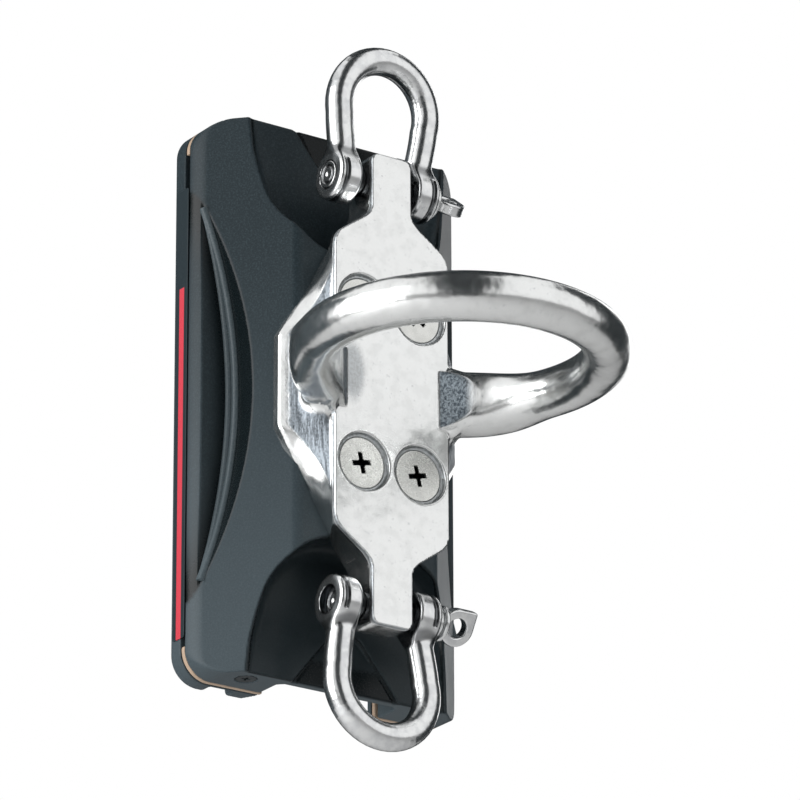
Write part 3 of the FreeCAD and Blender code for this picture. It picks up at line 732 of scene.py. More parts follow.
@dataclass(frozen=True)
class CastSteel(Finish):
    """Polished stainless casting. The surface's values raw and dull tell where it is rough and where shade
    and reflections are painted dark, which is also made rough.

    Attributes:
        name: Name of the material.
        slot: Name of a material slot, not used by this script.
        base: Colour of the polished metal.
        cloud: Colour of its clouds.
        speck: Colour of its specks.
        raw: Colour of the ribbed metal of the wings.
        raw_pit: Colour of the lowest parts of the ribbed metal.
        dull: Colour of the painted shade and painted dark reflections.
        dull_pit: Colour of the pits in the painted shade.
        rough: Roughness of the polish.
        wave: Depth of the polish's waves in millimetres.
    """

    name: str = "polished_casting"
    slot: str = "cast_steel"
    base: Colour = colour(0.83, 0.84, 0.835)
    cloud: Colour = colour(0.76, 0.77, 0.765)
    speck: Colour = colour(0.42, 0.43, 0.45)
    raw: Colour = colour(0.27, 0.30, 0.33)
    raw_pit: Colour = colour(0.11, 0.125, 0.14)
    dull: Colour = colour(0.27, 0.31, 0.34)
    dull_pit: Colour = colour(0.07, 0.085, 0.10)
    rough: float = 0.21
    wave: float = 0.4

    def paint(self, tree: Tree) -> bpy.types.Material:
        """Build a wavy polish with faint scratches and coarse places.

        Args:
            tree: Empty tree.

        Returns:
            The material.
        """
        place = tree.place()
        raw, dull = tree.mark("raw"), tree.mark("dull")
        wave = tree.noise(place, 0.16, 2.0)
        scratch = tree.noise(tree.stretched(place, (6.0, 6.0, 0.35)), 1.0, 3.0, 0.7)
        pit = tree.noise(place, 1.6, 3.0, 0.6)
        ribs = tree.noise(tree.stretched(place, (1.7, 1.7, 0.12)), 1.0, 2.0)
        cloud = tree.noise(place, 0.35, 3.0)
        speck = tree.noise(place, 1.1, 3.0, 0.75)
        clean = tree.tint(cloud.between(0.3, 0.6), self.cloud, self.base)
        clean = tree.tint(speck.between(0.6, 0.74) * 0.45, clean, self.speck)
        cast = tree.tint((pit * 0.5 + ribs * 0.5).between(0.38, 0.56), self.raw_pit, self.raw)
        # Painted shade: dark colour where shade and dark reflections fall, also made rough
        shade = tree.tint(pit.between(0.36, 0.62), self.dull_pit, self.dull)
        base = tree.tint(dull, tree.tint(raw, clean, cast), shade)
        coarse = (raw + dull).between(0.0, 1.0)
        polish = self.rough + (cloud - 0.5) * 0.12 + (scratch - 0.5) * 0.06
        rough = polish * (1 - coarse) + (0.4 + pit * 0.2) * coarse
        normal = tree.bump(wave * (1 - coarse), self.wave, 0.7)
        normal = tree.bump(scratch * (1 - coarse), 0.012, 0.5, normal)
        normal = tree.bump(pit, 0.02, 0.5, normal)
        normal = tree.bump((pit * 0.6 + ribs * raw * 0.9) * coarse, 0.25, 0.8, normal)
        return tree.surface(Base_Color=base, Roughness=rough, Metallic=1.0, Normal=normal)


@dataclass(frozen=True)
class TurnedSteel(Finish):
    """Plain stainless steel of bars, pins and screws. The surface's value dull tells where shade is painted
    dark.

    Attributes:
        name: Name of the material.
        slot: Name of a material slot, not used by this script.
        base: Colour of the metal.
        second_tone: Colour of its duller patches.
        rough: Roughness.
        scratch: Scale of the scratches along each axis.
        dull: Colour of the painted shade.
    """

    name: str = "polished_bar"
    slot: str = "shackle_steel"
    base: Colour = colour(0.80, 0.81, 0.81)
    second_tone: Colour = colour(0.68, 0.69, 0.70)
    rough: float = 0.22
    scratch: tuple[float, float, float] = (3.0, 3.0, 0.6)
    dull: Colour = colour(0.03, 0.035, 0.04)

    def paint(self, tree: Tree) -> bpy.types.Material:
        """Build faint scratches over soft clouds of gloss.

        Args:
            tree: Empty tree.

        Returns:
            The material.
        """
        place = tree.place()
        cloud = tree.noise(place, 0.5, 3.0)
        lines = tree.noise(tree.stretched(place, self.scratch), 1.0, 3.0, 0.7)
        base = tree.tint(cloud.between(0.35, 0.7), self.base, self.second_tone)
        # Painted shade: dark colour in holes, grooves, recesses and between parts
        base = tree.tint(tree.mark("dull"), base, self.dull)
        rough = self.rough + (cloud - 0.5) * 0.1 + (lines - 0.5) * 0.08
        normal = tree.bump(lines, 0.01, 0.6, tree.bump(cloud, 0.08, 0.4))
        return tree.surface(Base_Color=base, Roughness=rough, Metallic=1.0, Normal=normal)


@dataclass(frozen=True)
class Plastic(Finish):
    """Moulded plastic.

    Attributes:
        name: Name of the material.
        slot: Name of a material slot, not used by this script.
        base: Colour.
        shade: Colour of its darker patches.
        rough: Roughness.
    """

    name: str = "guide_plastic"
    slot: str = "guide"
    base: Colour = colour(0.50, 0.37, 0.27)
    shade: Colour = colour(0.39, 0.285, 0.20)
    rough: float = 0.4

    def paint(self, tree: Tree) -> bpy.types.Material:
        """Build soft patches of colour and a fine skin.

        Args:
            tree: Empty tree.

        Returns:
            The material.
        """
        place = tree.place()
        cloud = tree.noise(place, 0.3, 3.0)
        skin = tree.noise(place, 3.0, 2.0)
        base = tree.tint(cloud, self.base, self.shade)
        rough = self.rough + (skin - 0.5) * 0.12
        return tree.surface(Base_Color=base, Roughness=rough, Normal=tree.bump(skin, 0.01))


@dataclass(frozen=True)
class LabelFilm(Finish):
    """Black film with one coloured stripe along it.

    Attributes:
        name: Name of the material.
        slot: Name of a material slot, not used by this script.
        film: Colour of the film.
        stripe: Colour of the stripe.
        across: Front and back edge of the stripe.
        along: Lower and upper end of the stripe.
    """

    name: str = "label_film"
    slot: str = "label"
    film: Colour = colour(0.018, 0.027, 0.032)
    stripe: Colour = colour(0.56, 0.05, 0.072)
    across: tuple[float, float] = (8.75, 10.6)
    along: tuple[float, float] = (-56.0, 25.5)

    def paint(self, tree: Tree) -> bpy.types.Material:
        """Build the stripe on a faintly uneven film.

        Args:
            tree: Empty tree.

        Returns:
            The material.
        """
        place = tree.place()
        _, depth, height = tree.axes(place)
        stripe = depth.band(*self.across, 0.06) * height.band(*self.along, 0.06)
        skin = tree.noise(place, 0.9, 2.0)
        base = tree.tint(stripe, self.film, self.stripe)
        rough = 0.36 + skin * 0.12
        normal = tree.bump(skin, 0.02)
        return tree.surface(Base_Color=base, Roughness=rough, Specular_IOR_Level=0.2, Normal=normal)


# Housing and what closes its ball channels
class End(Enum):
    """An end of the car along the track."""

    UPPER = 1
    LOWER = -1


@dataclass(frozen=True)
class Race:
    """The closed channel of one loop of balls.

    Attributes:
        near: Loaded run from the middle of the car.
        far: Returning run from the middle.
        depth: Depth of the balls behind the track face.
        turn_height: Height of the middle of a turn.
        bore: Radius of the channel.
    """

    near: float = 17.4
    far: float = 29.2
    depth: float = 8.5
    turn_height: float = 51.5
    bore: float = 3.275

    @property
    def middle(self) -> float:
        """Return the middle of the loop from the middle of the car."""
        return (self.near + self.far) / 2

    @property
    def turn(self) -> float:
        """Return the radius of a turn."""
        return (self.far - self.near) / 2

    def distance(self, x: np.ndarray, y: np.ndarray, z: np.ndarray) -> np.ndarray:
        """Measure the distance to the channel.

        Args:
            x: Distance from the middle of the car.
            y: Depth.
            z: Distance from the middle of its length.

        Returns:
            Distance, negative inside the channel.
        """
        loop = np.abs(np.hypot(x - self.middle, np.maximum(z - self.turn_height, 0)) - self.turn)
        return np.hypot(loop, y - self.depth) - self.bore

    def path(self, steps: int = 24) -> list[tuple[float, float, float]]:
        """List points of the loop's middle line.

        Args:
            steps: Number of pieces of each turn.

        Returns:
            Points in millimetres.
        """
        up = [(self.middle - self.turn * math.cos(a), self.turn_height + self.turn * math.sin(a))
              for a in np.linspace(0, math.pi, steps + 1)]
        down = [(self.middle + self.turn * math.cos(a), -self.turn_height - self.turn * math.sin(a))
                for a in np.linspace(0, math.pi, steps + 1)]
        points = [(self.near, -self.turn_height), *up, *down[:-1]]
        return [(u, self.depth, v) for u, v in points]


@dataclass(frozen=True)
class SmallScrew:
    """A small countersunk screw.

    Attributes:
        head: Radius of the head.
        shank: Radius of the shank.
        rim: Height of the head's straight rim.
        length: Length of the screw.
    """

    head: float
    shank: float
    rim: float
    length: float

    def hole(self, across: np.ndarray, depth: np.ndarray, slack: float = 0.05) -> np.ndarray:
        """Measure the distance to the hole for the screw.

        Args:
            across: Distance from the screw's axis.
            depth: Depth below the face of its head.
            slack: Radial clearance.

        Returns:
            Distance, negative inside the hole.
        """
        wide = self.head + slack
        seat = np.maximum(across - wide, (across + depth - wide - self.rim) / math.sqrt(2))
        return np.minimum(seat, np.maximum(across - self.shank - slack, depth - self.length - 0.5))


PLATE_SCREW = SmallScrew(5.7, 3.0, 0.6, 16.9)
END_SCREW = SmallScrew(2.3, 1.45, 0.2, 9.0)
COVER_SCREW = SmallScrew(2.7, 1.5, 0.2, 10.1)

# Distances of the screws and of the shackles' pins from the middle of the track face, in millimetres
PLATE_SCREW_X, PLATE_SCREW_Z = 7.2, 18.17
END_SCREW_X, END_SCREW_Y = 22.4, 1.6
COVER_SCREW_X, COVER_SCREW_Z = 23.3, 34.0
PIN_RISE, PIN_HEIGHT = 15.1, 48.56


@dataclass
class Housing:
    """The black housing with its scoops, scallops and ball channels.

    Attributes:
        half_width: Half the car's width.
        half_length: Half the car's length.
        pad: Height of the pad in front of the track face.
        depth: Parting face behind the track face.
        slot_half: Half the width of the track slot.
        corner: Radius of a corner, seen from the front.
        eave: Depth behind the track face at which a shoulder's slope reaches the side.
        crest: Height of the crests between shoulders and scoops.
        scallop: Radius of a scallop's wall.
        scallop_reach: Reach of a scallop from the side.
        scallop_half: Half the length of a scallop's foot.
        scallop_floor: Floor of a scallop behind the track face.
        race: Ball channel.
        finish: Finish of the housing.
    """

    half_width: float = 34.0
    half_length: float = 63.5
    pad: float = 11.1
    depth: float = 7.7
    slot_half: float = 15.0
    corner: float = 6.5
    eave: float = 5.2
    crest: float = 2.8
    scallop: float = 125.0
    scallop_reach: float = 9.2
    scallop_half: float = 42.8
    scallop_floor: float = 4.2
    race: Race = Race()
    finish: Finish = BlastedBlack()

    def plan(self, x: np.ndarray, z: np.ndarray) -> np.ndarray:
        """Measure the distance to the car's outline seen from the front.

        Args:
            x: Distance from the middle, not negative.
            z: Height from the middle, not negative.

        Returns:
            Distance, negative inside.
        """
        u, v = x - self.half_width + self.corner, z - self.half_length + self.corner
        return np.hypot(np.maximum(u, 0), np.maximum(v, 0)) + np.minimum(np.maximum(u, v), 0) - self.corner

    def scoop(self, x: np.ndarray, y: np.ndarray, z: np.ndarray) -> np.ndarray:
        """Measure the distance to the scoop at an end, with its ramp panel.

        Args:
            x: Distance from the middle, not negative.
            y: Depth.
            z: Height from the middle, not negative.

        Returns:
            Distance, negative inside the scoop.
        """
        wall = Outline(((-40, 32.3, 0), (18.6, 32.3, 18), (26, 56.5, 6), (28.6, 72, 0), (-40, 72, 0)), 10)
        ramp = Outline(((-3, 51, 3), (3, 51, 3), (13, 63.5, 0), (13, 72, 0), (-13, 72, 0), (-13, 63.5, 0)), 5)
        well = meet(wall.distance(x, z), y + self.crest, 3.5)
        sink = 0.25 + 0.95 * np.clip((self.half_length - z) / 12.5, 0, 1)
        edge = ramp.distance(x, z)
        seam = np.hypot(edge, y + self.crest - 0.2) - 0.5
        return np.minimum(well, np.minimum(meet(edge, y + self.crest - sink, 0.15), seam))

    @property
    def scallop_middle(self) -> float:
        """Return how far from the middle of the car the middle of a scallop's wall is."""
        return self.half_width - self.scallop_reach + self.scallop

    def inward(self, x: np.ndarray, z: np.ndarray) -> np.ndarray:
        """Tell how far a point is on the outer side of a scallop's wall."""
        return self.scallop - np.hypot(x - self.scallop_middle, z)

    def scalloped(self, block: np.ndarray, x: np.ndarray, y: np.ndarray, z: np.ndarray) -> np.ndarray:
        """Cut the scallop into a shoulder.

        Args:
            block: Distance to the housing.
            x: Distance from the middle, not negative.
            y: Depth.
            z: Height from the middle, not negative.

        Returns:
            Distance to the cut housing.
        """
        inward = self.inward(x, z)
        floor = self.scallop_floor - 0.02 * np.maximum(inward - 2, 0) ** 1.5
        return carve(block, meet(-inward, y - floor, 0.3), 0.25)

    def foot(self, lift: float, out: float, steps: int = 64) -> list[tuple[float, float, float, float]]:
        """List points of a line that runs along the foot of the right-hand scallop's wall.

        Args:
            lift: Share of the wall's height at which the line runs.
            out: Distance from the wall.
            steps: Number of pieces of the line.

        Returns:
            Points in millimetres, each with its share of the line's full thickness.
        """
        found = []
        for share in np.linspace(-1, 1, steps + 1):
            height = self.scallop_half * share
            across = self.scallop_middle - math.sqrt(self.scallop ** 2 - height ** 2)
            wall = self.scallop_floor - (across - self.half_width + self.eave)
            thick = 0.05 + 0.95 * float(ease(np.float64(1 - abs(share)), 0, 0.6))
            apart = out * (1 - abs(share) ** 3)
            found.append((across + apart, self.scallop_floor - lift * max(wall, 0), height, thick))
        return found

    def shape(self, x: np.ndarray, y: np.ndarray, z: np.ndarray) -> np.ndarray:
        """Measure the distance to the housing.

        Args:
            x: X in millimetres.
            y: Y in millimetres.
            z: Z in millimetres.

        Returns:
            Distance, negative inside.
        """
        x, z = np.abs(x), np.abs(z)
        # Shoulders, pad, sides and parting face
        edge = self.half_width - self.eave
        front = meet((x - y - edge) / math.sqrt(2), -self.pad - y, 1.1)
        rim = 1.9 - 1.5 * ease(z, self.half_length - 6, self.half_length - 1)
        body = meet(meet(front, self.plan(x, z), rim), y - self.depth, 0.25)
        body = carve(body, self.scoop(x, y, z), 0.55)
        body = self.scalloped(body, x, y, z)
        # Track slot and ball channels
        body = carve(body, meet(x - self.slot_half, -y, 2), 0.4)
        body = carve(body, self.race.distance(x, y, z), 0.15)
        # Holes for the screws
        across = np.hypot(x - END_SCREW_X, y - END_SCREW_Y)
        body = carve(body, END_SCREW.hole(across, self.half_length - 0.1 - z), 0.12)
        across = np.hypot(x - PLATE_SCREW_X, z - PLATE_SCREW_Z)
        plate_holes = np.maximum(across - 3.05, y + 2.2)
        across = np.hypot(x - COVER_SCREW_X, np.minimum(z, np.abs(z - COVER_SCREW_Z)))
        cover_holes = np.maximum(across - 1.55, 3.2 - y)
        return carve(body, np.minimum(plate_holes, cover_holes), 0.1)

    def hollow(self, x: np.ndarray, y: np.ndarray, z: np.ndarray) -> np.ndarray:
        """Tell where shade is painted dark into the finish: along the scallops, at the scoops' rims and in
        the lower scoop.

        Args:
            x: X in millimetres.
            y: Y in millimetres.
            z: Z in millimetres.

        Returns:
            Share of the painted shade, 0 to 1.
        """
        # Painted shade along the foot of the scallops' walls, in the scoops' rims and over the lower scoop
        low = z < 0
        x, z = np.abs(x), np.abs(z)
        inward = self.inward(x, z)
        wall = ease(inward, -0.35, 0.1) * (1 - ease(inward, 0.5, 6.5)) * ease(y, -9, -3)
        near = 1 - ease(np.abs(self.scoop(x, y, z)), 0.3, 0.6)
        below = -np.maximum((x - y - self.half_width + self.eave) / math.sqrt(2), -self.pad - y)
        edge = near * ease(below, 0.25, 0.5) * (1 - ease(below, 0.8, 1.5))
        seam = near * ease(y, 0.1 - self.crest, 0.3 - self.crest)
        seam = seam * (1 - ease(y, 0.6 - self.crest, 1 - self.crest))
        return np.maximum(np.maximum(wall, np.maximum(edge, seam) * 0.9), 0.6 * low * near)

    def build(self) -> bpy.types.Object:
        """Build and dress the housing.

        Returns:
            The housing.
        """
        wide, tall = self.half_width, self.half_length
        mould = Mould((-wide, -self.pad, -tall), (wide, self.depth, tall), 0.42, 190000)
        shell = mould.cast(self.shape, {"hollow": self.hollow})
        item = self.finish.dress(shell.build("housing_body"))
        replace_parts(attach(item, "car"), "housing")
        return item


@dataclass
class Covers:
    """The two race covers behind the housing and the tan guides between them.

    Attributes:
        front: Front face of a cover.
        back: Back face of a cover.
        mouth: Half the gap between the covers at the front.
        flare: How much wider that gap is at the back, on each side.
        guide_low: Height from the middle at which a guide begins.
        housing: The housing that they close.
        finish: Finish of the covers.
        guide: Finish of the guides.
    """

    front: float = 9.3
    back: float = 13.8
    mouth: float = 14.4
    flare: float = 2.2
    guide_low: float = 56.5
    housing: Housing = field(default_factory=Housing)
    finish: Finish = BlastedBlack("blasted_cover", "cover", rough=0.5)
    guide: Finish = Plastic()

    def shape(self, x: np.ndarray, y: np.ndarray, z: np.ndarray) -> np.ndarray:
        """Measure the distance to the right-hand cover.

        Args:
            x: X in millimetres.
            y: Y in millimetres.
            z: Z in millimetres.

        Returns:
            Distance, negative inside.
        """
        z = np.abs(z)
        race = self.housing.race
        lean = self.flare / (self.back - self.front)
        inner = (self.mouth + lean * (y - self.front) - x) / math.hypot(1, lean)
        body = meet(meet(self.housing.plan(np.abs(x), z), y - self.back, 1.4), inner, 0.4)
        body = meet(body, self.front - y, 0.15)
        island = meet(np.abs(x - race.middle) - 2.4, z - race.turn_height, 0.3)
        island = meet(island, np.abs(y - 9.25) - 1.55, 0.1)
        body = carve(np.minimum(body, island), race.distance(x, y, z), 0.15)
        notch = meet(meet(np.abs(x - 23) - 3, 60.5 - z, 0.8), self.front + 0.8 - y, 0.3)
        body = carve(body, notch, 0.3)
        across = np.hypot(x - race.middle, np.minimum(z, np.abs(z - COVER_SCREW_Z)))
        return carve(body, COVER_SCREW.hole(across, self.back - 0.1 - y), 0.12)

    def guide_shape(self, x: np.ndarray, y: np.ndarray, z: np.ndarray) -> np.ndarray:
        """Measure the distance to the guide at the top right.

        Args:
            x: X in millimetres.
            y: Y in millimetres.
            z: Z in millimetres.

        Returns:
            Distance, negative inside.
        """
        housing = self.housing
        plan = meet(housing.plan(np.abs(x), np.abs(z)), self.guide_low - z, 0.25)
        plan = meet(plan, self.mouth - x, 0.25)
        plate = meet(plan, np.abs(y - housing.depth - 0.55) - 0.55, 0.15)
        return carve(plate, housing.race.distance(x, y, np.abs(z)), 0.12)

    def build(self) -> list[bpy.types.Object]:
        """Build and dress both covers and the four guides.

        Returns:
            The pieces.
        """
        wide, tall, parting = self.housing.half_width, self.housing.half_length, self.housing.depth
        cover_mould = Mould((self.mouth, parting, -tall), (wide, self.back, tall), 0.36, 110000)
        guide_mould = Mould((self.mouth, parting, self.guide_low), (wide, self.front, tall), 0.2, 16000)
        cover, guide = cover_mould.cast(self.shape), guide_mould.cast(self.guide_shape)
        same, flip, down = Matrix.Identity(4), Matrix.Diagonal((-1, 1, 1, 1)), Matrix.Diagonal((1, 1, -1, 1))
        pieces = []
        for side, turn in (("right", same), ("left", flip)):
            item = self.finish.dress(cover.moved(turn).build(f"cover_{side}"))
            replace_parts(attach(item, "car"), f"race_cover_{side}")
            pieces.append(item)
            for end, tilt in (("top", same), ("bottom", down)):
                item = self.guide.dress(guide.moved(turn @ tilt).build(f"guide_{end}_{side}"))
                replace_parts(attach(item, "car"), f"ball_guide_{end}_{side}")
                pieces.append(item)
        return pieces


# Geometry Nodes: balls and screws
class Garden(NodeTree):
    """A Geometry Nodes tree with named inputs, run once over a mesh.

    Attributes:
        settings: Value of each input, by the identifier of its socket.
        source: Node that gives the inputs.
    """

    def __init__(self, name: str) -> None:
        """Start a tree.

        Args:
            name: Name of the tree.
        """
        super().__init__(bpy.data.node_groups.new(name, "GeometryNodeTree"))
        self.settings: dict[str, object] = {}
        self.add_input("Geometry", "NodeSocketGeometry", None)
        self.tree.interface.new_socket("Geometry", in_out="OUTPUT", socket_type="NodeSocketGeometry")
        self.source = self.tree.nodes.new("NodeGroupInput")

    def add_input(self, name: str, kind: str, value: object) -> None:
        """Add a named input.

        Args:
            name: Name of the input.
            kind: Type of its socket.
            value: Its value, or None.
        """
        socket = self.tree.interface.new_socket(name, in_out="INPUT", socket_type=kind)
        if value is not None:
            self.settings[socket.identifier] = value

    def given(self, name: str) -> bpy.types.NodeSocket:
        """Return the socket of a named input."""
        return self.source.outputs[name]

    def attribute(self, name: str, kind: str) -> bpy.types.NodeSocket:
        """Return the socket of a named attribute of the points."""
        return self.node("GeometryNodeInputNamedAttribute", {"data_type": kind}, {"Name": name}).outputs[0]

    def finish(self, instances: bpy.types.NodeSocket) -> None:
        """End the tree: realise the instances and give them the material.

        Args:
            instances: Socket of the instances.
        """
        real = self.node("GeometryNodeRealizeInstances", values={"Geometry": instances})
        done = self.node("GeometryNodeSetMaterial",
                         values={"Geometry": real.outputs[0], "Material": self.given("Material")})
        self.node("NodeGroupOutput", values={"Geometry": done.outputs[0]})

    def grow(self, name: str, source: bpy.types.Mesh) -> bpy.types.Object:
        """Run the tree over a mesh and keep the result as a plain mesh.

        Args:
            name: Name of the piece.
            source: Mesh that the tree starts from.

        Returns:
            The piece.
        """
        bed = add_object(name + "_bed", source)
        modifier = bed.modifiers.new("grow", "NODES")
        modifier.node_group = self.tree
        for identifier, value in self.settings.items():
            modifier[identifier] = value
        mesh = plain_mesh(bed, name)
        bed.modifiers.remove(modifier)
        bpy.data.objects.remove(bed)
        mesh.shade_smooth()
        return add_object(name, mesh)


@dataclass
class Balls:
    """Two loops of balls in their channels.

    Attributes:
        race: Channel of a loop.
        diameter: Diameter of a ball.
        count: Number of balls in a loop.
        finish: Finish of the balls.
    """

    race: Race = Race()
    diameter: float = 6.35
    count: int = 37
    finish: Finish = Plastic("ball_plastic", "ball", colour(0.16, 0.10, 0.045),
                             colour(0.11, 0.07, 0.035), 0.28)

    def garden(self) -> Garden:
        """Build the tree that spaces balls evenly along a loop.

        Returns:
            The tree.
        """
        garden = Garden("balls_along_a_loop")
        garden.add_input("Ball Radius", "NodeSocketFloat", self.diameter / 2 * MM)
        garden.add_input("Count", "NodeSocketInt", self.count)
        garden.add_input("Material", "NodeSocketMaterial", self.finish.material())
        line = garden.node("GeometryNodeMeshToCurve", values={"Mesh": garden.given("Geometry")})
        even = garden.node("GeometryNodeResampleCurve",
                           values={"Curve": line.outputs[0], "Count": garden.given("Count")})
        ball = garden.node("GeometryNodeMeshIcoSphere",
                           values={"Radius": garden.given("Ball Radius"), "Subdivisions": 3})
        spread = garden.node("GeometryNodeInstanceOnPoints",
                             values={"Points": even.outputs[0], "Instance": ball.outputs[0]})
        garden.finish(spread.outputs[0])
        return garden

    def build(self) -> list[bpy.types.Object]:
        """Build both loops.

        Returns:
            The pieces.
        """
        garden = self.garden()
        pieces = []
        for side, sign in (("right", 1), ("left", -1)):
            points = [(sign * x * MM, y * MM, z * MM) for x, y, z in self.race.path()]
            mesh = bpy.data.meshes.new(f"loop_{side}")
            mesh.from_pydata(points, [(i, (i + 1) % len(points)) for i in range(len(points))], [])
            item = garden.grow(f"ball_loop_{side}", mesh)
            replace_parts(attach(item, "car"), f"balls_{side}")
            pieces.append(item)
        return pieces


@dataclass
class Beads:
    """Thin raised lines along the foot of both scallops' walls.

    Attributes:
        housing: Housing that they lie on.
        finish: Finish of the lines, paler than the housing as a painted highlight.
        lines: Share of the wall's height, distance from the wall and radius of each line, in millimetres.
    """

    housing: Housing = field(default_factory=Housing)
    # The lines' paler colour is a painted highlight along the feet of the walls
    finish: Finish = BlastedBlack("blasted_line", "anodised", colour(0.055, 0.072, 0.08),
                                  colour(0.095, 0.116, 0.127), rough=0.3)
    lines: tuple[tuple[float, float, float], ...] = ((0.2, 0.0, 0.3), (0.0, 0.75, 0.2))

    def garden(self) -> Garden:
        """Build the tree that sweeps a round section along lines of varying thickness.

        Returns:
            The tree.
        """
        garden = Garden("beads_along_lines")
        garden.add_input("Sides", "NodeSocketInt", 10)
        garden.add_input("Material", "NodeSocketMaterial", self.finish.material())
        line = garden.node("GeometryNodeMeshToCurve", values={"Mesh": garden.given("Geometry")})
        sized = garden.node("GeometryNodeSetCurveRadius",
                            values={"Curve": line.outputs[0], "Radius": garden.attribute("thick", "FLOAT")})
        section = garden.node("GeometryNodeCurvePrimitiveCircle",
                              values={"Resolution": garden.given("Sides"), "Radius": MM})
        tube = garden.node("GeometryNodeCurveToMesh", values={
            "Curve": sized.outputs[0], "Profile Curve": section.outputs[0], "Fill Caps": True})
        garden.finish(tube.outputs[0])
        return garden

    def build(self) -> list[bpy.types.Object]:
        """Build the lines of both scallops.

        Returns:
            The pieces.
        """
        garden = self.garden()
        pieces = []
        for side, sign in (("right", 1), ("left", -1)):
            points, edges, thick = [], [], []
            for lift, out, radius in self.lines:
                line = self.housing.foot(lift, out)
                edges += [(len(points) + i, len(points) + i + 1) for i in range(len(line) - 1)]
                points += [(sign * x * MM, y * MM, z * MM) for x, y, z, _ in line]
                thick += [radius * share for *_, share in line]
            mesh = bpy.data.meshes.new(f"lines_{side}")
            mesh.from_pydata(points, edges, [])
            mesh.attributes.new("thick", "FLOAT", "POINT").data.foreach_set("value", thick)
            item = garden.grow(f"scallop_beads_{side}", mesh)
            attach(item, "car")
            pieces.append(item)
        return pieces


@dataclass(frozen=True)
class ScrewSet:
    """Screws of one kind, with where they sit.

    Attributes:
        name: Name of the set.
        screw: Sizes of the screw.
        nodes: CAD nodes that the set stands for.
        places: Middle of each head's face.
        facing: Direction that each head looks in.
        turns: Turn of each cross, in degrees.
        step: Spacing of the net over the screw.
        cross: Half width, reach and depth of the cross, as shares of the head's radius.
    """

    name: str
    screw: SmallScrew
    nodes: tuple[str, ...]
    places: tuple[tuple[float, float, float], ...]
    facing: tuple[tuple[float, float, float], ...]
    turns: tuple[float, ...]
    step: float
    cross: tuple[float, float, float] = (0.1, 0.42, 0.4)

    def shape(self, x: np.ndarray, y: np.ndarray, z: np.ndarray) -> np.ndarray:
        """Measure the distance to a screw that looks along +Z from the origin.

        Args:
            x: X in millimetres.
            y: Y in millimetres.
            z: Z in millimetres.

        Returns:
            Distance, negative inside.
        """
        screw, across = self.screw, np.hypot(x, y)
        cone = (across - screw.head - screw.rim - z) / math.sqrt(2)
        head = meet(meet(across - screw.head, z, 0.22), cone, 0.1)
        shank = meet(across - screw.shank, -z - screw.length, 0.3)
        body = np.minimum(head, meet(shank, z + screw.rim, 0.05))
        half, reach, depth = (share * screw.head for share in self.cross)
        # The cross narrows towards its bottom
        narrow = 0.16 * z
        arm_x = meet(np.abs(x) - reach - 0.35 * z, np.abs(y) - half - narrow, 0.12)
        arm_y = meet(np.abs(y) - reach - 0.35 * z, np.abs(x) - half - narrow, 0.12)
        recess = meet(join(arm_x, arm_y, half * 0.5), -z - depth, 0.1)
        return carve(body, recess, 0.08)

    def garden(self, master: bpy.types.Object, finish: Finish) -> Garden:
        """Build the tree that puts a screw at each point.

        Args:
            master: The screw.
            finish: Finish of the screws.

        Returns:
            The tree.
        """
        garden = Garden(self.name + "_at_points")
        garden.add_input("Screw", "NodeSocketObject", master)
        garden.add_input("Scale", "NodeSocketFloat", 1.0)
        garden.add_input("Material", "NodeSocketMaterial", finish.material())
        facing, turn = garden.attribute("facing", "FLOAT_VECTOR"), garden.attribute("turn", "FLOAT")
        aim = garden.node("FunctionNodeAlignRotationToVector", {"axis": "Z"}, {"Vector": facing})
        spin = garden.node("FunctionNodeAxisAngleToRotation", values={"Axis": (0, 0, 1), "Angle": turn})
        both = garden.node("FunctionNodeRotateRotation", {"rotation_space": "LOCAL"},
                           {"Rotation": aim.outputs[0], "Rotate By": spin.outputs[0]})
        shape = garden.node("GeometryNodeObjectInfo", {"transform_space": "ORIGINAL"},
                            {"Object": garden.given("Screw")})
        spread = garden.node("GeometryNodeInstanceOnPoints", values={
            "Points": garden.given("Geometry"), "Instance": shape.outputs["Geometry"],
            "Rotation": both.outputs[0], "Scale": garden.given("Scale")})
        garden.finish(spread.outputs[0])
        return garden

    def build(self, finish: Finish) -> bpy.types.Object:
        """Build the set.

        Args:
            finish: Finish of the screws.

        Returns:
            The screws as one piece.
        """
        head, length = self.screw.head, self.screw.length
        mould = Mould((-head, -head, -length), (head, head, 0), self.step, 26000)
        # Painted shade at the bottom of the cross recess
        marks = {"dull": lambda x, y, z: ease(-z, 0.15, 0.7) * (np.hypot(x, y) < 0.6 * head)}
        master = mould.cast(self.shape, marks).build(self.name + "_master")
        points = bpy.data.meshes.new(self.name + "_points")
        points.from_pydata([tuple(v * MM for v in place) for place in self.places], [], [])
        facing = points.attributes.new("facing", "FLOAT_VECTOR", "POINT")
        facing.data.foreach_set("vector", [v for vector in self.facing for v in vector])
        turn = points.attributes.new("turn", "FLOAT", "POINT")
        turn.data.foreach_set("value", [math.radians(v) for v in self.turns])
        item = self.garden(master, finish).grow(self.name, points)
        bpy.data.objects.remove(master)
        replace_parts(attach(item, "car"), *self.nodes)
        return item


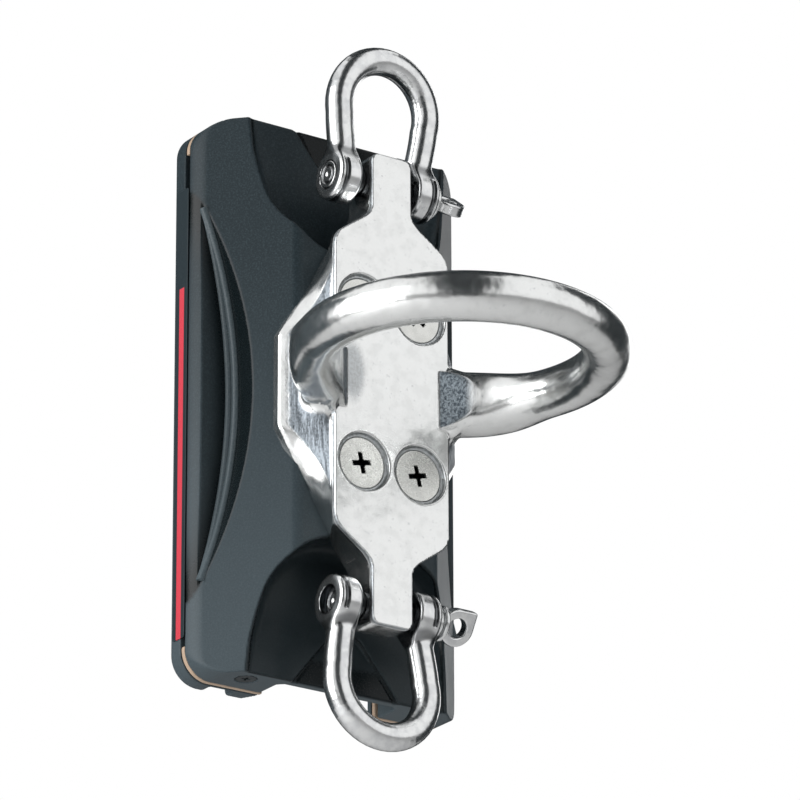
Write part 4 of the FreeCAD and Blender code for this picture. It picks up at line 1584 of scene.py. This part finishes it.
@dataclass
class Screws:
    """All screws of the car.

    Attributes:
        finish: Finish of the screws.
        blacked: Finish of the end screws.
    """

    finish: Finish = TurnedSteel("turned_steel", "screw_steel", colour(0.71, 0.715, 0.69),
                                 colour(0.65, 0.655, 0.63), 0.27, (2.0, 2.0, 2.0))
    blacked: Finish = TurnedSteel("blacked_steel", "screw_steel", colour(0.045, 0.055, 0.06),
                                  colour(0.03, 0.038, 0.042), 0.4, (2.0, 2.0, 2.0))

    def sets(self) -> list[ScrewSet]:
        """List the sets of screws.

        Returns:
            The sets.
        """
        sides = (("left", -1), ("right", 1))
        ends = (("lower", -1), ("upper", 1))
        rows = (("lower", -1), ("middle", 0), ("upper", 1))
        corners = [(f"{end}_{side}", u, v) for side, u in sides for end, v in ends]
        plate = ScrewSet(
            "plate_screws", PLATE_SCREW, tuple(f"plate_screw_{tag}" for tag, _, _ in corners),
            tuple((PLATE_SCREW_X * u, -19.6, PLATE_SCREW_Z * v) for _, u, v in corners), ((0, -1, 0),) * 4,
            (12, -20, 14, 52), 0.17)
        end = ScrewSet(
            "end_screws", END_SCREW, tuple(f"end_screw_{tag}" for tag, _, _ in corners),
            tuple((END_SCREW_X * u, END_SCREW_Y, 63.4 * v) for _, u, v in corners),
            tuple((0, 0, v) for _, _, v in corners), (10, 40, 25, 70), 0.13)
        cells = [(f"{row}_{side}", u, v) for side, u in sides for row, v in rows]
        cover = ScrewSet(
            "cover_screws", COVER_SCREW, tuple(f"cover_screw_{tag}" for tag, _, _ in cells),
            tuple((COVER_SCREW_X * u, 13.7, COVER_SCREW_Z * v) for _, u, v in cells), ((0, 1, 0),) * 6,
            (15, 50, 80, 30, 5, 65), 0.14)
        return [plate, end, cover]

    def build(self) -> list[bpy.types.Object]:
        """Build all sets."""
        plate, end, cover = self.sets()
        return [plate.build(self.finish), end.build(self.blacked), cover.build(self.finish)]


# Ring plate
@dataclass
class RingPlate:
    """The casting with face, tongues, wings and ring.

    Attributes:
        face: Height of the front face.
        face_half: Half width of the face.
        foot: Height of the housing's pad.
        wing_half: Half width across the wings.
        wing_low: Height of the front of a wing at its outer edge.
        wing_back: Height of the back of a wing at its outer edge.
        wing_high: Height of a wing beside the face.
        wing_rest: Half width of what rests on the pad.
        wing_end: Height from the middle at which a wing ends.
        wing_straight: Height from the middle up to which a wing keeps its width.
        wing_taper: How much narrower a wing gets with each millimetre past that.
        face_straight: Height from the middle up to which the face keeps its width.
        face_taper: How much narrower the face gets with each millimetre past that.
        pin_hole: Radius of the holes for the shackles' pins.
        lug: Radius of a lug.
        ring: Radius of the ring's middle line.
        bar: Radius of the ring's bar.
        throat: Half width of the flat between the ring's roots.
        finish: Finish of the casting.
    """

    face: float = 20.6
    face_half: float = 14.85
    foot: float = 11.1
    wing_half: float = 23.2
    wing_low: float = 11.3
    wing_back: float = 9.0
    wing_high: float = 19.6
    wing_rest: float = 18.12
    wing_end: float = 35.6
    wing_straight: float = 10.4
    wing_taper: float = 0.583
    face_straight: float = 33.0
    face_taper: float = 1.426
    pin_hole: float = 3.1
    lug: float = 5.39
    ring: float = 30.8
    bar: float = 5.28
    throat: float = 11.75
    finish: Finish = CastSteel()

    def front(self) -> Outline:
        """Return the outline of the face with its tongues."""
        tip = PIN_HEIGHT + self.lug
        return Outline(((-40, -70, 0), (self.face_half, -70, 0), (self.face_half, self.face_straight, 6),
                        (5.15, 39.8, 4), (5.15, tip, 2), (-40, tip, 0)), 6)

    def spine(self, x: np.ndarray, y: np.ndarray, z: np.ndarray) -> np.ndarray:
        """Measure the distance to the face with its tongues and lugs.

        Args:
            x: Distance from the middle, not negative.
            y: Y in millimetres.
            z: Height from the middle, not negative.

        Returns:
            Distance, negative inside.
        """
        tip = PIN_HEIGHT + self.lug
        arc = [(-PIN_RISE + self.lug * math.cos(a), PIN_HEIGHT + self.lug * math.sin(a), 0)
               for a in np.linspace(math.pi / 2, -0.733, 16)]
        profile = Outline(((-self.face, -70, 0), (-self.face, tip, 0), *arc, (-self.foot, -70, 0)))
        return meet(self.front().distance(x, z), profile.distance(y, z), 0.45)

    def wing(self, x: np.ndarray, y: np.ndarray, z: np.ndarray) -> np.ndarray:
        """Measure the distance to the wings.

        Args:
            x: Distance from the middle, not negative.
            y: Y in millimetres.
            z: Height from the middle, not negative.

        Returns:
            Distance, negative inside.
        """
        plan = Outline(((-40, -70, 0), (self.wing_half, -70, 0), (self.wing_half, self.wing_straight, 3),
                        (8.5, self.wing_end, 0), (-40, self.wing_end, 0)), 5)
        heel = self.wing_rest + self.foot - self.wing_back
        profile = Outline(((-40, -self.foot, 0), (self.wing_rest, -self.foot, 0), (heel, -self.wing_back, 0),
                           (self.wing_half, -self.wing_back, 0), (self.wing_half, -self.wing_low, 0),
                           (self.face_half, -self.wing_high, 0), (-40, -self.wing_high, 0)))
        return meet(plan.distance(x, z), profile.distance(x, y), 0.7)

    def share(self, y: np.ndarray) -> np.ndarray:
        """Tell how far down the wings' slope a depth is: 0 beside the face, 1 at the rim."""
        return np.clip((y + self.wing_high) / (self.wing_high - self.wing_low), 0, 1)

    def roof(self, x: np.ndarray, y: np.ndarray, z: np.ndarray) -> np.ndarray:
        """Measure the distance from the slope that runs from the edge of the face to the wing's rim.

        Args:
            x: Distance from the middle, not negative.
            y: Y in millimetres.
            z: Height from the middle, not negative.

        Returns:
            Signed distance, positive outside.
        """
        rim = self.wing_half - np.maximum(z - self.wing_straight, 0) * self.wing_taper
        edge = self.face_half - np.maximum(z - self.face_straight, 0) * self.face_taper
        share = self.share(y)
        steep = (rim - edge) / (self.wing_high - self.wing_low) * ((share > 0) & (share < 1))
        return (x - edge - (rim - edge) * share) / np.sqrt(1 + steep ** 2 + (self.wing_taper * share) ** 2)

    def hoop(self, x: np.ndarray, y: np.ndarray, z: np.ndarray) -> np.ndarray:
        """Measure the distance to the ring's bar, round in front and taller with flatter sides at its roots.

        Args:
            x: Distance from the middle, not negative.
            y: Y in millimetres.
            z: Height from the middle, not negative.

        Returns:
            Distance, negative inside.
        """
        tall = 1 + 0.3 * ease(y, -self.face - 15, -self.face)
        out = np.abs(np.hypot(x, y + self.face + self.ring - self.bar - 0.1) - self.ring)
        round_ = np.hypot(out, z / tall)
        square = np.sqrt(np.sqrt(out ** 4 + (z / tall) ** 4))
        return round_ + (square - round_) * 0.8 * ease(y, -self.face - 17, -self.face - 5) - self.bar

    def gap(self, x: np.ndarray, y: np.ndarray) -> np.ndarray:
        """Measure the distance to the clear space between the ring's roots.

        Args:
            x: Distance from the middle, not negative.
            y: Y in millimetres.

        Returns:
            Distance, negative inside the gap.
        """
        side = slope(x, y, (self.throat + 7.2, -self.face - 9), (self.throat, -self.face))
        return np.maximum(side, -self.face - 12 - y)

    def shape(self, x: np.ndarray, y: np.ndarray, z: np.ndarray) -> np.ndarray:
        """Measure the distance to the casting.

        Args:
            x: X in millimetres.
            y: Y in millimetres.
            z: Z in millimetres.

        Returns:
            Distance, negative inside.
        """
        x, z = np.abs(x), np.abs(z)
        plate = join(self.spine(x, y, z), self.wing(x, y, z), 0.7)
        # The slopes stop short of the tongues' tips
        plate = np.where(z < 38.6, meet(plate, self.roof(x, y, z), 0.5), plate)
        hoop = meet(self.hoop(x, y, z), y + self.foot, 0.2)
        hoop = np.where(y < -self.face + 0.5, carve(hoop, self.gap(x, y), 0.35), hoop)
        # The ring's fillet is wide beside its roots and thin on the face between them
        blend = 0.35 + ease(x, 13.5, 16.5) * ease(z, 1.5, 5) * (1.6 + 2.6 * (1 - ease(x, 17.5, 21)))
        body = join(plate, hoop, blend)
        pin = np.hypot(y + PIN_RISE, z - PIN_HEIGHT) - self.pin_hole
        body = carve(body, pin, 0.3)
        across, depth = np.hypot(x - PLATE_SCREW_X, z - PLATE_SCREW_Z), y + self.face - 1
        bevel = (across + depth - 5.75) / math.sqrt(2)
        body = carve(body, np.maximum(bevel, np.abs(depth + 0.7) - 0.7), 0.15)
        hole = np.minimum(np.maximum(across - 6.4, depth), PLATE_SCREW.hole(across, depth))
        return carve(body, hole, 0.12)

    def raw(self, x: np.ndarray, y: np.ndarray, z: np.ndarray) -> np.ndarray:
        """Tell where the casting is left as cast: the slopes of its wings inside their polished rims.

        Args:
            x: X in millimetres.
            y: Y in millimetres.
            z: Z in millimetres.

        Returns:
            Share of the rough surface, 0 to 1.
        """
        x, z = np.abs(x), np.abs(z)
        share = self.share(y)
        limit = 0.84 * (1 - np.maximum(z - self.wing_straight, 0) / 16.3)
        slopes = ease(self.roof(x, y, z), -0.5, -0.2) * ease(share, 0.03, 0.08)
        slopes = slopes * (1 - ease(share - limit, -0.05, 0.02))
        return slopes * ease(self.hoop(x, y, z), 0.8, 1.8)

    def dull(self, x: np.ndarray, y: np.ndarray, z: np.ndarray) -> np.ndarray:
        """Tell where the casting is painted dark: painted shade in the rough crevices by the ring's roots, in
        recesses and along the edge, and a painted reflection of the left root on the face.

        Args:
            x: X in millimetres.
            y: Y in millimetres.
            z: Z in millimetres.

        Returns:
            Share of the painted shade, 0 to 1.
        """
        # Painted reflection: the dark left root mirrored in the face beside it
        spot = np.hypot((x + 10.2) / 3.6, (z - 1.8) / 7.6)
        painted_root_reflection = 0.5 * (1 - ease(spot, 0.55, 1.1)) * (np.abs(y + self.face) < 0.4)
        x, z = np.abs(x), np.abs(z)
        # Painted shade in the crevices by the ring's roots, which are also left rough
        facet = (1 - ease(np.abs(self.gap(x, y)), 0.12, 0.35)) * (z < 9)
        facet = facet * ease(-y, self.face + 0.1, self.face + 0.4)
        facet = facet * (1 - ease(-y, self.face + 4.5, self.face + 7))
        # Painted shade on the bevels of the screw recesses
        across = np.hypot(x - PLATE_SCREW_X, z - PLATE_SCREW_Z)
        recess = 0.55 * ease(across, 5.6, 5.75) * (1 - ease(across, 6.45, 6.75))
        recess = recess * ease(y, 0.1 - self.face, 0.3 - self.face)
        # Painted shade: a dark line along the rounded edge of the face in place of its highlight
        edge = 0.75 * (1 - ease(np.abs(self.front().distance(x, z)), 0.1, 0.45))
        edge = edge * ease(y, 0.02 - self.face, 0.12 - self.face)
        edge = edge * (1 - ease(y, 0.8 - self.face, 1.2 - self.face))
        return np.maximum(np.maximum(facet, edge), np.maximum(recess, painted_root_reflection * (x < self.throat)))

    def build(self) -> bpy.types.Object:
        """Build and dress the casting.

        Returns:
            The casting.
        """
        mould = Mould((-36.1, -82.2, -54), (36.1, -9.7, 54), 0.38, 195000)
        marks = {"raw": self.raw, "dull": self.dull}
        item = self.finish.dress(mould.cast(self.shape, marks).build("ring_plate_body"))
        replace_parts(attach(item, "car"), "ring_plate")
        return item


# Shackles
@dataclass(frozen=True)
class Hang:
    """How a shackle hangs.

    Attributes:
        end: End of the car that it hangs at.
        bow_turn: Turn of its bow in degrees, 0 with the crown up.
        pin_turn: Turn of its pin's eye in degrees, 0 with the corner up.
        out: How far its pin is screwed out, in millimetres.
    """

    end: End
    bow_turn: float
    pin_turn: float
    out: float


@dataclass
class Shackle:
    """A bow shackle with its screw pin, modelled upright over a pin at the origin.

    Attributes:
        bar: Radius of the bow's bar.
        crown: Radius of the crown's middle line.
        reach: Pin to the outside of the crown.
        foot: Middle of a leg beside its ear, from the middle of the shackle.
        ear_middle: Middle of an ear from the middle of the shackle.
        ear: Radius of an ear.
        ear_half: Half the thickness of an ear.
        pin: Radius of the pin.
        eye: Outer radius of the pin's eye.
        hangs: How each of the two shackles hangs.
        finish: Finish of bow and pin.
    """

    bar: float = 3.05
    crown: float = 11.3
    reach: float = 31.7
    foot: float = 9.5
    ear_middle: float = 10.1
    ear: float = 5.6
    ear_half: float = 3.0
    pin: float = 3.0
    eye: float = 4.1
    hangs: tuple[Hang, ...] = (Hang(End.UPPER, 6, -52, 0), Hang(End.LOWER, 176, 31, 1.7))
    finish: Finish = TurnedSteel()

    def line(self, x: np.ndarray, z: np.ndarray) -> np.ndarray:
        """Measure the distance to the bow's middle line in its plane.

        Args:
            x: Distance from the middle, not negative.
            z: Height over the pin.

        Returns:
            Distance from the line.
        """
        centre = self.reach - self.bar - self.crown
        points = [(self.crown * math.sin(a), centre + self.crown * math.cos(a))
                  for a in np.linspace(0, 1.8, 15)]
        # From the end of the crown the leg bends in towards its ear
        low, high = points[-1], (self.foot, 2.5)
        for share in np.linspace(0, 1, 9)[1:]:
            bend = share * share * (3 - 2 * share)
            points.append((low[0] + (high[0] - low[0]) * (0.35 * share + 0.65 * bend),
                           low[1] + (high[1] - low[1]) * share))
        best = np.full(np.broadcast(x, z).shape, 1e9)
        for (u0, v0), (u1, v1) in zip(points, points[1:]):
            du, dv = u1 - u0, v1 - v0
            share = np.clip(((x - u0) * du + (z - v0) * dv) / (du * du + dv * dv), 0, 1)
            best = np.minimum(best, (x - u0 - share * du) ** 2 + (z - v0 - share * dv) ** 2)
        return np.sqrt(best)

    def bow(self, x: np.ndarray, y: np.ndarray, z: np.ndarray) -> np.ndarray:
        """Measure the distance to the bow.

        Args:
            x: X in millimetres.
            y: Y in millimetres.
            z: Z in millimetres.

        Returns:
            Distance, negative inside.
        """
        x = np.abs(x)
        bar = np.hypot(self.line(x, z), y) - self.bar
        across, beside = np.hypot(y, z), np.abs(x - self.ear_middle)
        ear = meet(across - self.ear, beside - self.ear_half, 1.2)
        groove = np.hypot(across - self.ear - 0.1, x - self.ear_middle - 1.2) - 0.5
        body = join(bar, ear, 2.0)
        body = carve(body, meet(groove, z - 3.2, 0.3), 0.35)
        beyond = np.minimum(self.ear_middle + self.ear_half - x, x - self.ear_middle + self.ear_half)
        body = carve(body, meet(across - self.ear - 1.4, beyond, 0.1), 0.5)
        return carve(body, across - self.pin - 0.05, 0.15)

    def pin_shape(self, x: np.ndarray, y: np.ndarray, z: np.ndarray) -> np.ndarray:
        """Measure the distance to the pin with its collar and its eye with one corner.

        Args:
            x: X in millimetres.
            y: Y in millimetres.
            z: Z in millimetres.

        Returns:
            Distance, negative inside.
        """
        outer = self.ear_middle + self.ear_half
        across = np.hypot(y, z)
        shank = meet(across - self.pin, np.maximum(-x - outer, x - outer - 0.5), 0.15)
        groove = np.hypot(across - 1.9, x + outer) - 0.22
        dimple = np.hypot(across, x + outer + 0.75) - 1.0
        shank = carve(shank, np.minimum(groove, dimple), 0.1)
        collar = meet(across - 4.0, np.abs(x - outer - 0.6) - 0.6, 0.5)
        middle = outer + 4.8
        u, v = x - middle, z
        corner = meet(u - self.eye, v - self.eye, 0.6)
        flat = meet(corner, -np.minimum(u, v) - 0.2, 0.1)
        plan = np.minimum(np.hypot(u, v) - self.eye, np.maximum(flat, -u - v))
        eye = meet(plan, np.abs(y) - 1.3, 0.5)
        eye = carve(eye, np.hypot(u, v) - 2.15, 0.45)
        return join(join(shank, collar, 0.3), eye, 0.6)

    def bow_dull(self, x: np.ndarray, y: np.ndarray, z: np.ndarray) -> np.ndarray:
        """Tell where shade is painted dark on the bow: in and beside its ears, round the pin and where the
        legs begin.

        Args:
            x: X in millimetres.
            y: Y in millimetres.
            z: Z in millimetres.

        Returns:
            Share of the painted shade, 0 to 1.
        """
        x, across = np.abs(x), np.hypot(y, z)
        groove = 1 - ease(np.hypot(across - self.ear - 0.1, x - self.ear_middle - 1.2), 0.5, 0.75)
        hole = 1 - ease(across, self.pin + 0.1, self.pin + 0.5)
        inner, outer = self.ear_middle - self.ear_half, self.ear_middle + self.ear_half
        inside = (1 - ease(x, inner, inner + 0.7)) * (z < 7)
        side = 0.35 * ease(x, outer - 0.5, outer)
        corner = np.hypot(np.hypot(self.line(x, z), y) - self.bar, across - self.ear)
        corner = (1 - ease(corner, 0.9, 1.6)) * 0.6
        dark = np.maximum(np.maximum(groove * (z < 3.2) * 0.85, hole), corner)
        return np.maximum(dark, np.maximum(inside, side) * 0.7)

    def pin_dull(self, x: np.ndarray, y: np.ndarray, z: np.ndarray) -> np.ndarray:
        """Tell where shade is painted dark on the pin: between the ears, in the groove of its end and lightly
        over that end.

        Args:
            x: X in millimetres.
            y: Y in millimetres.
            z: Z in millimetres.

        Returns:
            Share of the painted shade, 0 to 1.
        """
        outer, across = self.ear_middle + self.ear_half, np.hypot(y, z)
        shank = (np.abs(x) < self.ear_middle) * 0.9
        groove = 1 - ease(np.abs(across - 1.9), 0.3, 0.5)
        face = np.maximum(groove * 0.8, 0.25) * (x < 0.4 - outer)
        return np.maximum(shank, face)

    def build(self) -> list[bpy.types.Object]:
        """Build and dress both shackles.

        Returns:
            The pieces.
        """
        bow_mould = Mould((-14.4, -5.9, -5.9), (14.4, 5.9, 31.8), 0.28, 80000)
        pin_mould = Mould((-13.2, -4.4, -4.4), (22.2, 4.4, 4.4), 0.2, 50000)
        bow = bow_mould.cast(self.bow, {"dull": self.bow_dull})
        pin = pin_mould.cast(self.pin_shape, {"dull": self.pin_dull})
        pieces = []
        for hang in self.hangs:
            word = hang.end.name.lower()
            pair = (("bow", bow, hang.bow_turn, 0), ("pin", pin, hang.pin_turn, hang.out))
            for kind, shell, angle, shift in pair:
                place = Matrix.Translation((shift, -PIN_RISE, PIN_HEIGHT * hang.end.value))
                turned = shell.moved(place @ Matrix.Rotation(math.radians(angle), 4, "X"))
                item = self.finish.dress(turned.build(f"{kind}_{word}"))
                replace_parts(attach(item, f"{word}_shackle"), f"{word}_{kind}")
                pieces.append(item)
        return pieces


@dataclass
class SideLabel:
    """The thin film along the left side.

    Attributes:
        front: Front edge.
        back: Back edge.
        low: Lower end.
        high: Upper end.
        thick: Thickness.
        finish: Finish of the film.
    """

    front: float = 7.5
    back: float = 12.0
    low: float = -54.5
    high: float = 48.5
    thick: float = 0.3
    finish: Finish = LabelFilm()

    def shape(self, x: np.ndarray, y: np.ndarray, z: np.ndarray) -> np.ndarray:
        """Measure the distance to the film.

        Args:
            x: X in millimetres.
            y: Y in millimetres.
            z: Z in millimetres.

        Returns:
            Distance, negative inside.
        """
        wide = np.abs(y - (self.front + self.back) / 2) - (self.back - self.front) / 2
        tall = np.abs(z - (self.low + self.high) / 2) - (self.high - self.low) / 2
        return meet(meet(wide, tall, 0.5), np.abs(x + 34 + self.thick / 2) - self.thick / 2, 0.1)

    def build(self) -> bpy.types.Object:
        """Build and dress the film.

        Returns:
            The film.
        """
        mould = Mould((-34.3, self.front, self.low), (-34, self.back, self.high), 0.12, 20000)
        item = self.finish.dress(mould.cast(self.shape).build("side_film"))
        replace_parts(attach(item, "car"), "side_label_left")
        return item


# Camera, light and surroundings
def direction(azimuth: float, elevation: float) -> Vector:
    """Work out a direction from the car.

    Args:
        azimuth: Angle round the car in degrees, 0 in front and positive to the right.
        elevation: Height angle in degrees.

    Returns:
        The direction, with a length of 1.
    """
    turn, lift = math.radians(azimuth), math.radians(elevation)
    return Vector((math.sin(turn) * math.cos(lift), -math.cos(turn) * math.cos(lift), math.sin(lift)))


@dataclass(frozen=True)
class Panel:
    """A flat light or card that faces the car.

    Attributes:
        name: Name of the panel.
        azimuth: Direction to the panel round the car in degrees, 0 in front and positive to the right.
        elevation: Height angle in degrees.
        distance: Distance from the car in metres.
        wide: Width in metres.
        tall: Height in metres.
        level: Brightness of a light, or colour of a card.
        mirrored: Whether polished surfaces show a light.
    """

    name: str
    azimuth: float
    elevation: float
    distance: float
    wide: float
    tall: float
    level: float
    mirrored: bool = False

    def matrix(self, target: Vector) -> Matrix:
        """Work out the panel's place.

        Args:
            target: Point that it faces.

        Returns:
            Its turn and place, with its -Z towards the target.
        """
        away = direction(self.azimuth, self.elevation)
        turned = away.to_track_quat("Z", "Y").to_matrix().to_4x4()
        return Matrix.Translation(target + away * self.distance) @ turned

    def light(self, target: Vector) -> bpy.types.Object:
        """Make the panel a soft light.

        Args:
            target: Point that it faces.

        Returns:
            The lamp.
        """
        lamp = bpy.data.lights.new(self.name, "AREA")
        lamp.shape, lamp.size, lamp.size_y = "RECTANGLE", self.wide, self.tall
        lamp.energy = self.level * math.pi * self.wide * self.tall
        item = add_object(self.name, lamp)
        item.matrix_world = self.matrix(target)
        item.visible_camera = False
        item.visible_glossy = self.mirrored
        return item

    def card(self, target: Vector) -> bpy.types.Object:
        """Make the panel a card that only polished surfaces show.

        Args:
            target: Point that it faces.

        Returns:
            The card.
        """
        u, v = self.wide / 2, self.tall / 2
        mesh = bpy.data.meshes.new(self.name)
        corners = [(-u, -v, 0), (u, -v, 0), (u, v, 0), (-u, v, 0)]
        mesh.from_pydata(corners, [], [(0, 3, 2, 1)])
        tree = Tree(bpy.data.materials.new(self.name))
        mottle = tree.noise(tree.place(), 0.005, 1.0)
        shade = tree.tint(mottle, colour(self.level * 0.7, self.level * 0.9, self.level),
                          colour(self.level * 0.6, self.level * 0.75, self.level * 0.85))
        mesh.materials.append(tree.surface(Base_Color=shade, Roughness=0.9))
        item = add_object(self.name, mesh)
        item.matrix_world = self.matrix(target)
        item.visible_camera = item.visible_diffuse = item.visible_shadow = False
        return item


@dataclass
class Studio:
    """Camera, lamps, dark cards, floor and background.

    Attributes:
        target: Point that the camera looks at, in millimetres.
        azimuth: Direction of the camera round the car, in degrees.
        elevation: Its height angle in degrees.
        roll: Its roll in degrees.
        distance: Its distance in millimetres.
        lens: Focal length on a sensor 36 mm wide.
        ambient: Strength of the light from all around.
        floor: Height of the floor in metres.
        lights: Soft lights.
        cards: Dark cards.
    """

    target: tuple[float, float, float] = (14.06, -2.8, 6.14)
    azimuth: float = -34.34
    elevation: float = -21.33
    roll: float = -0.18
    distance: float = 1316.57
    lens: float = 272.86
    ambient: float = 0.3
    floor: float = -0.62
    lights: tuple[Panel, ...] = (
        Panel("key_light", 38, 22, 1.5, 1.15, 1.1, 0.4),
        Panel("left_light", -75, -5, 1.4, 0.8, 1.1, 1.4),
        Panel("side_light", -95, 8, 1.3, 1.0, 1.3, 3.9, True),
        Panel("top_light", 60, 80, 1.5, 1.4, 1.4, 1.4),
        Panel("rim_light", 122, 27, 1.3, 0.35, 0.8, 0.9, True),
    )
    cards: tuple[Panel, ...] = (
        Panel("card_front", -31, 30, 1.0, 0.66, 3.0, 0.03),
        Panel("card_left", -148, 10, 0.9, 0.75, 1.3, 0.12),
        Panel("card_right", 86, 16, 0.9, 0.8, 1.6, 0.03),
        Panel("card_back", 165, 24, 0.6, 0.75, 0.95, 0.05),
        Panel("card_top", 146, 70, 0.8, 0.45, 0.8, 0.03),
        Panel("card_rim", 124, -3, 1.0, 0.5, 0.35, 0.03),
    )

    def camera(self) -> bpy.types.Object:
        """Set up the camera.

        Returns:
            The camera.
        """
        turn, roll = math.radians(self.azimuth), math.radians(self.roll)
        back = direction(self.azimuth, self.elevation)
        right = Vector((math.cos(turn), math.sin(turn), 0))
        up = back.cross(right)
        right, up = math.cos(roll) * right + math.sin(roll) * up, math.cos(roll) * up - math.sin(roll) * right
        place = (Vector(self.target) + back * self.distance) * MM
        camera = bpy.data.cameras.new("camera")
        camera.lens, camera.sensor_width = self.lens, 36.0
        camera.clip_start, camera.clip_end = 0.05, 50
        item = add_object("camera", camera)
        item.matrix_world = Matrix.Translation(place) @ Matrix((right, up, back)).transposed().to_4x4()
        bpy.context.scene.camera = item
        return item

    def world(self) -> None:
        """Set up the light from all around and the white background."""
        world = bpy.data.worlds.new("studio")
        bpy.context.scene.world = world
        tree = Tree(world)
        rays = tree.node("ShaderNodeLightPath").outputs
        seen = Signal(tree, rays["Is Camera Ray"])
        for name in ("Is Glossy Ray", "Is Transmission Ray"):
            seen = seen.math("MAXIMUM", seen, rays[name])
        strength = tree.node("ShaderNodeMapRange",
                             values={"Value": seen, "To Min": self.ambient, "To Max": 1.0})
        background = tree.node("ShaderNodeBackground",
                               values={"Color": colour(1, 1, 1), "Strength": strength.outputs[0]})
        tree.node("ShaderNodeOutputWorld", values={"Surface": background.outputs[0]})

    def ground(self) -> bpy.types.Object:
        """Lay the pale floor.

        Returns:
            The floor.
        """
        mesh = bpy.data.meshes.new("floor")
        corners = [(-6, -6, self.floor), (6, -6, self.floor), (6, 6, self.floor), (-6, 6, self.floor)]
        mesh.from_pydata(corners, [], [(0, 1, 2, 3)])
        tree = Tree(bpy.data.materials.new("floor_paper"))
        fibre = tree.noise(tree.place(), 0.4, 2.0)
        paper = tree.tint(fibre, colour(0.80, 0.80, 0.80), colour(0.84, 0.84, 0.84))
        mesh.materials.append(tree.surface(Base_Color=paper, Roughness=0.85))
        item = add_object("floor", mesh)
        return item

    def build(self) -> None:
        """Set up everything around the car."""
        self.camera()
        self.world()
        self.ground()
        target = Vector(self.target) * MM
        for panel in self.lights:
            panel.light(target)
        for panel in self.cards:
            panel.card(target)


def report(name: str, pieces: Iterable[bpy.types.Object]) -> None:
    """Log what a sub-assembly consists of.

    Args:
        name: Name of the sub-assembly.
        pieces: Its pieces.
    """
    for item in pieces:
        LOG.info("%s: %s, %d faces", name, item.name, len(item.data.polygons))


def main() -> None:
    """Build the car and its surroundings."""
    logging.basicConfig(level=logging.INFO, format="%(message)s")
    bpy.context.scene.view_settings.view_transform = "Standard"
    Studio().build()
    housing = Housing()
    report("housing", [housing.build()])
    report("covers", Covers(housing=housing).build())
    report("beads", Beads(housing).build())
    report("balls", Balls().build())
    report("ring plate", [RingPlate().build()])
    report("screws", Screws().build())
    report("shackles", Shackle().build())
    report("label", [SideLabel().build()])


if __name__ == "__main__":
    main()
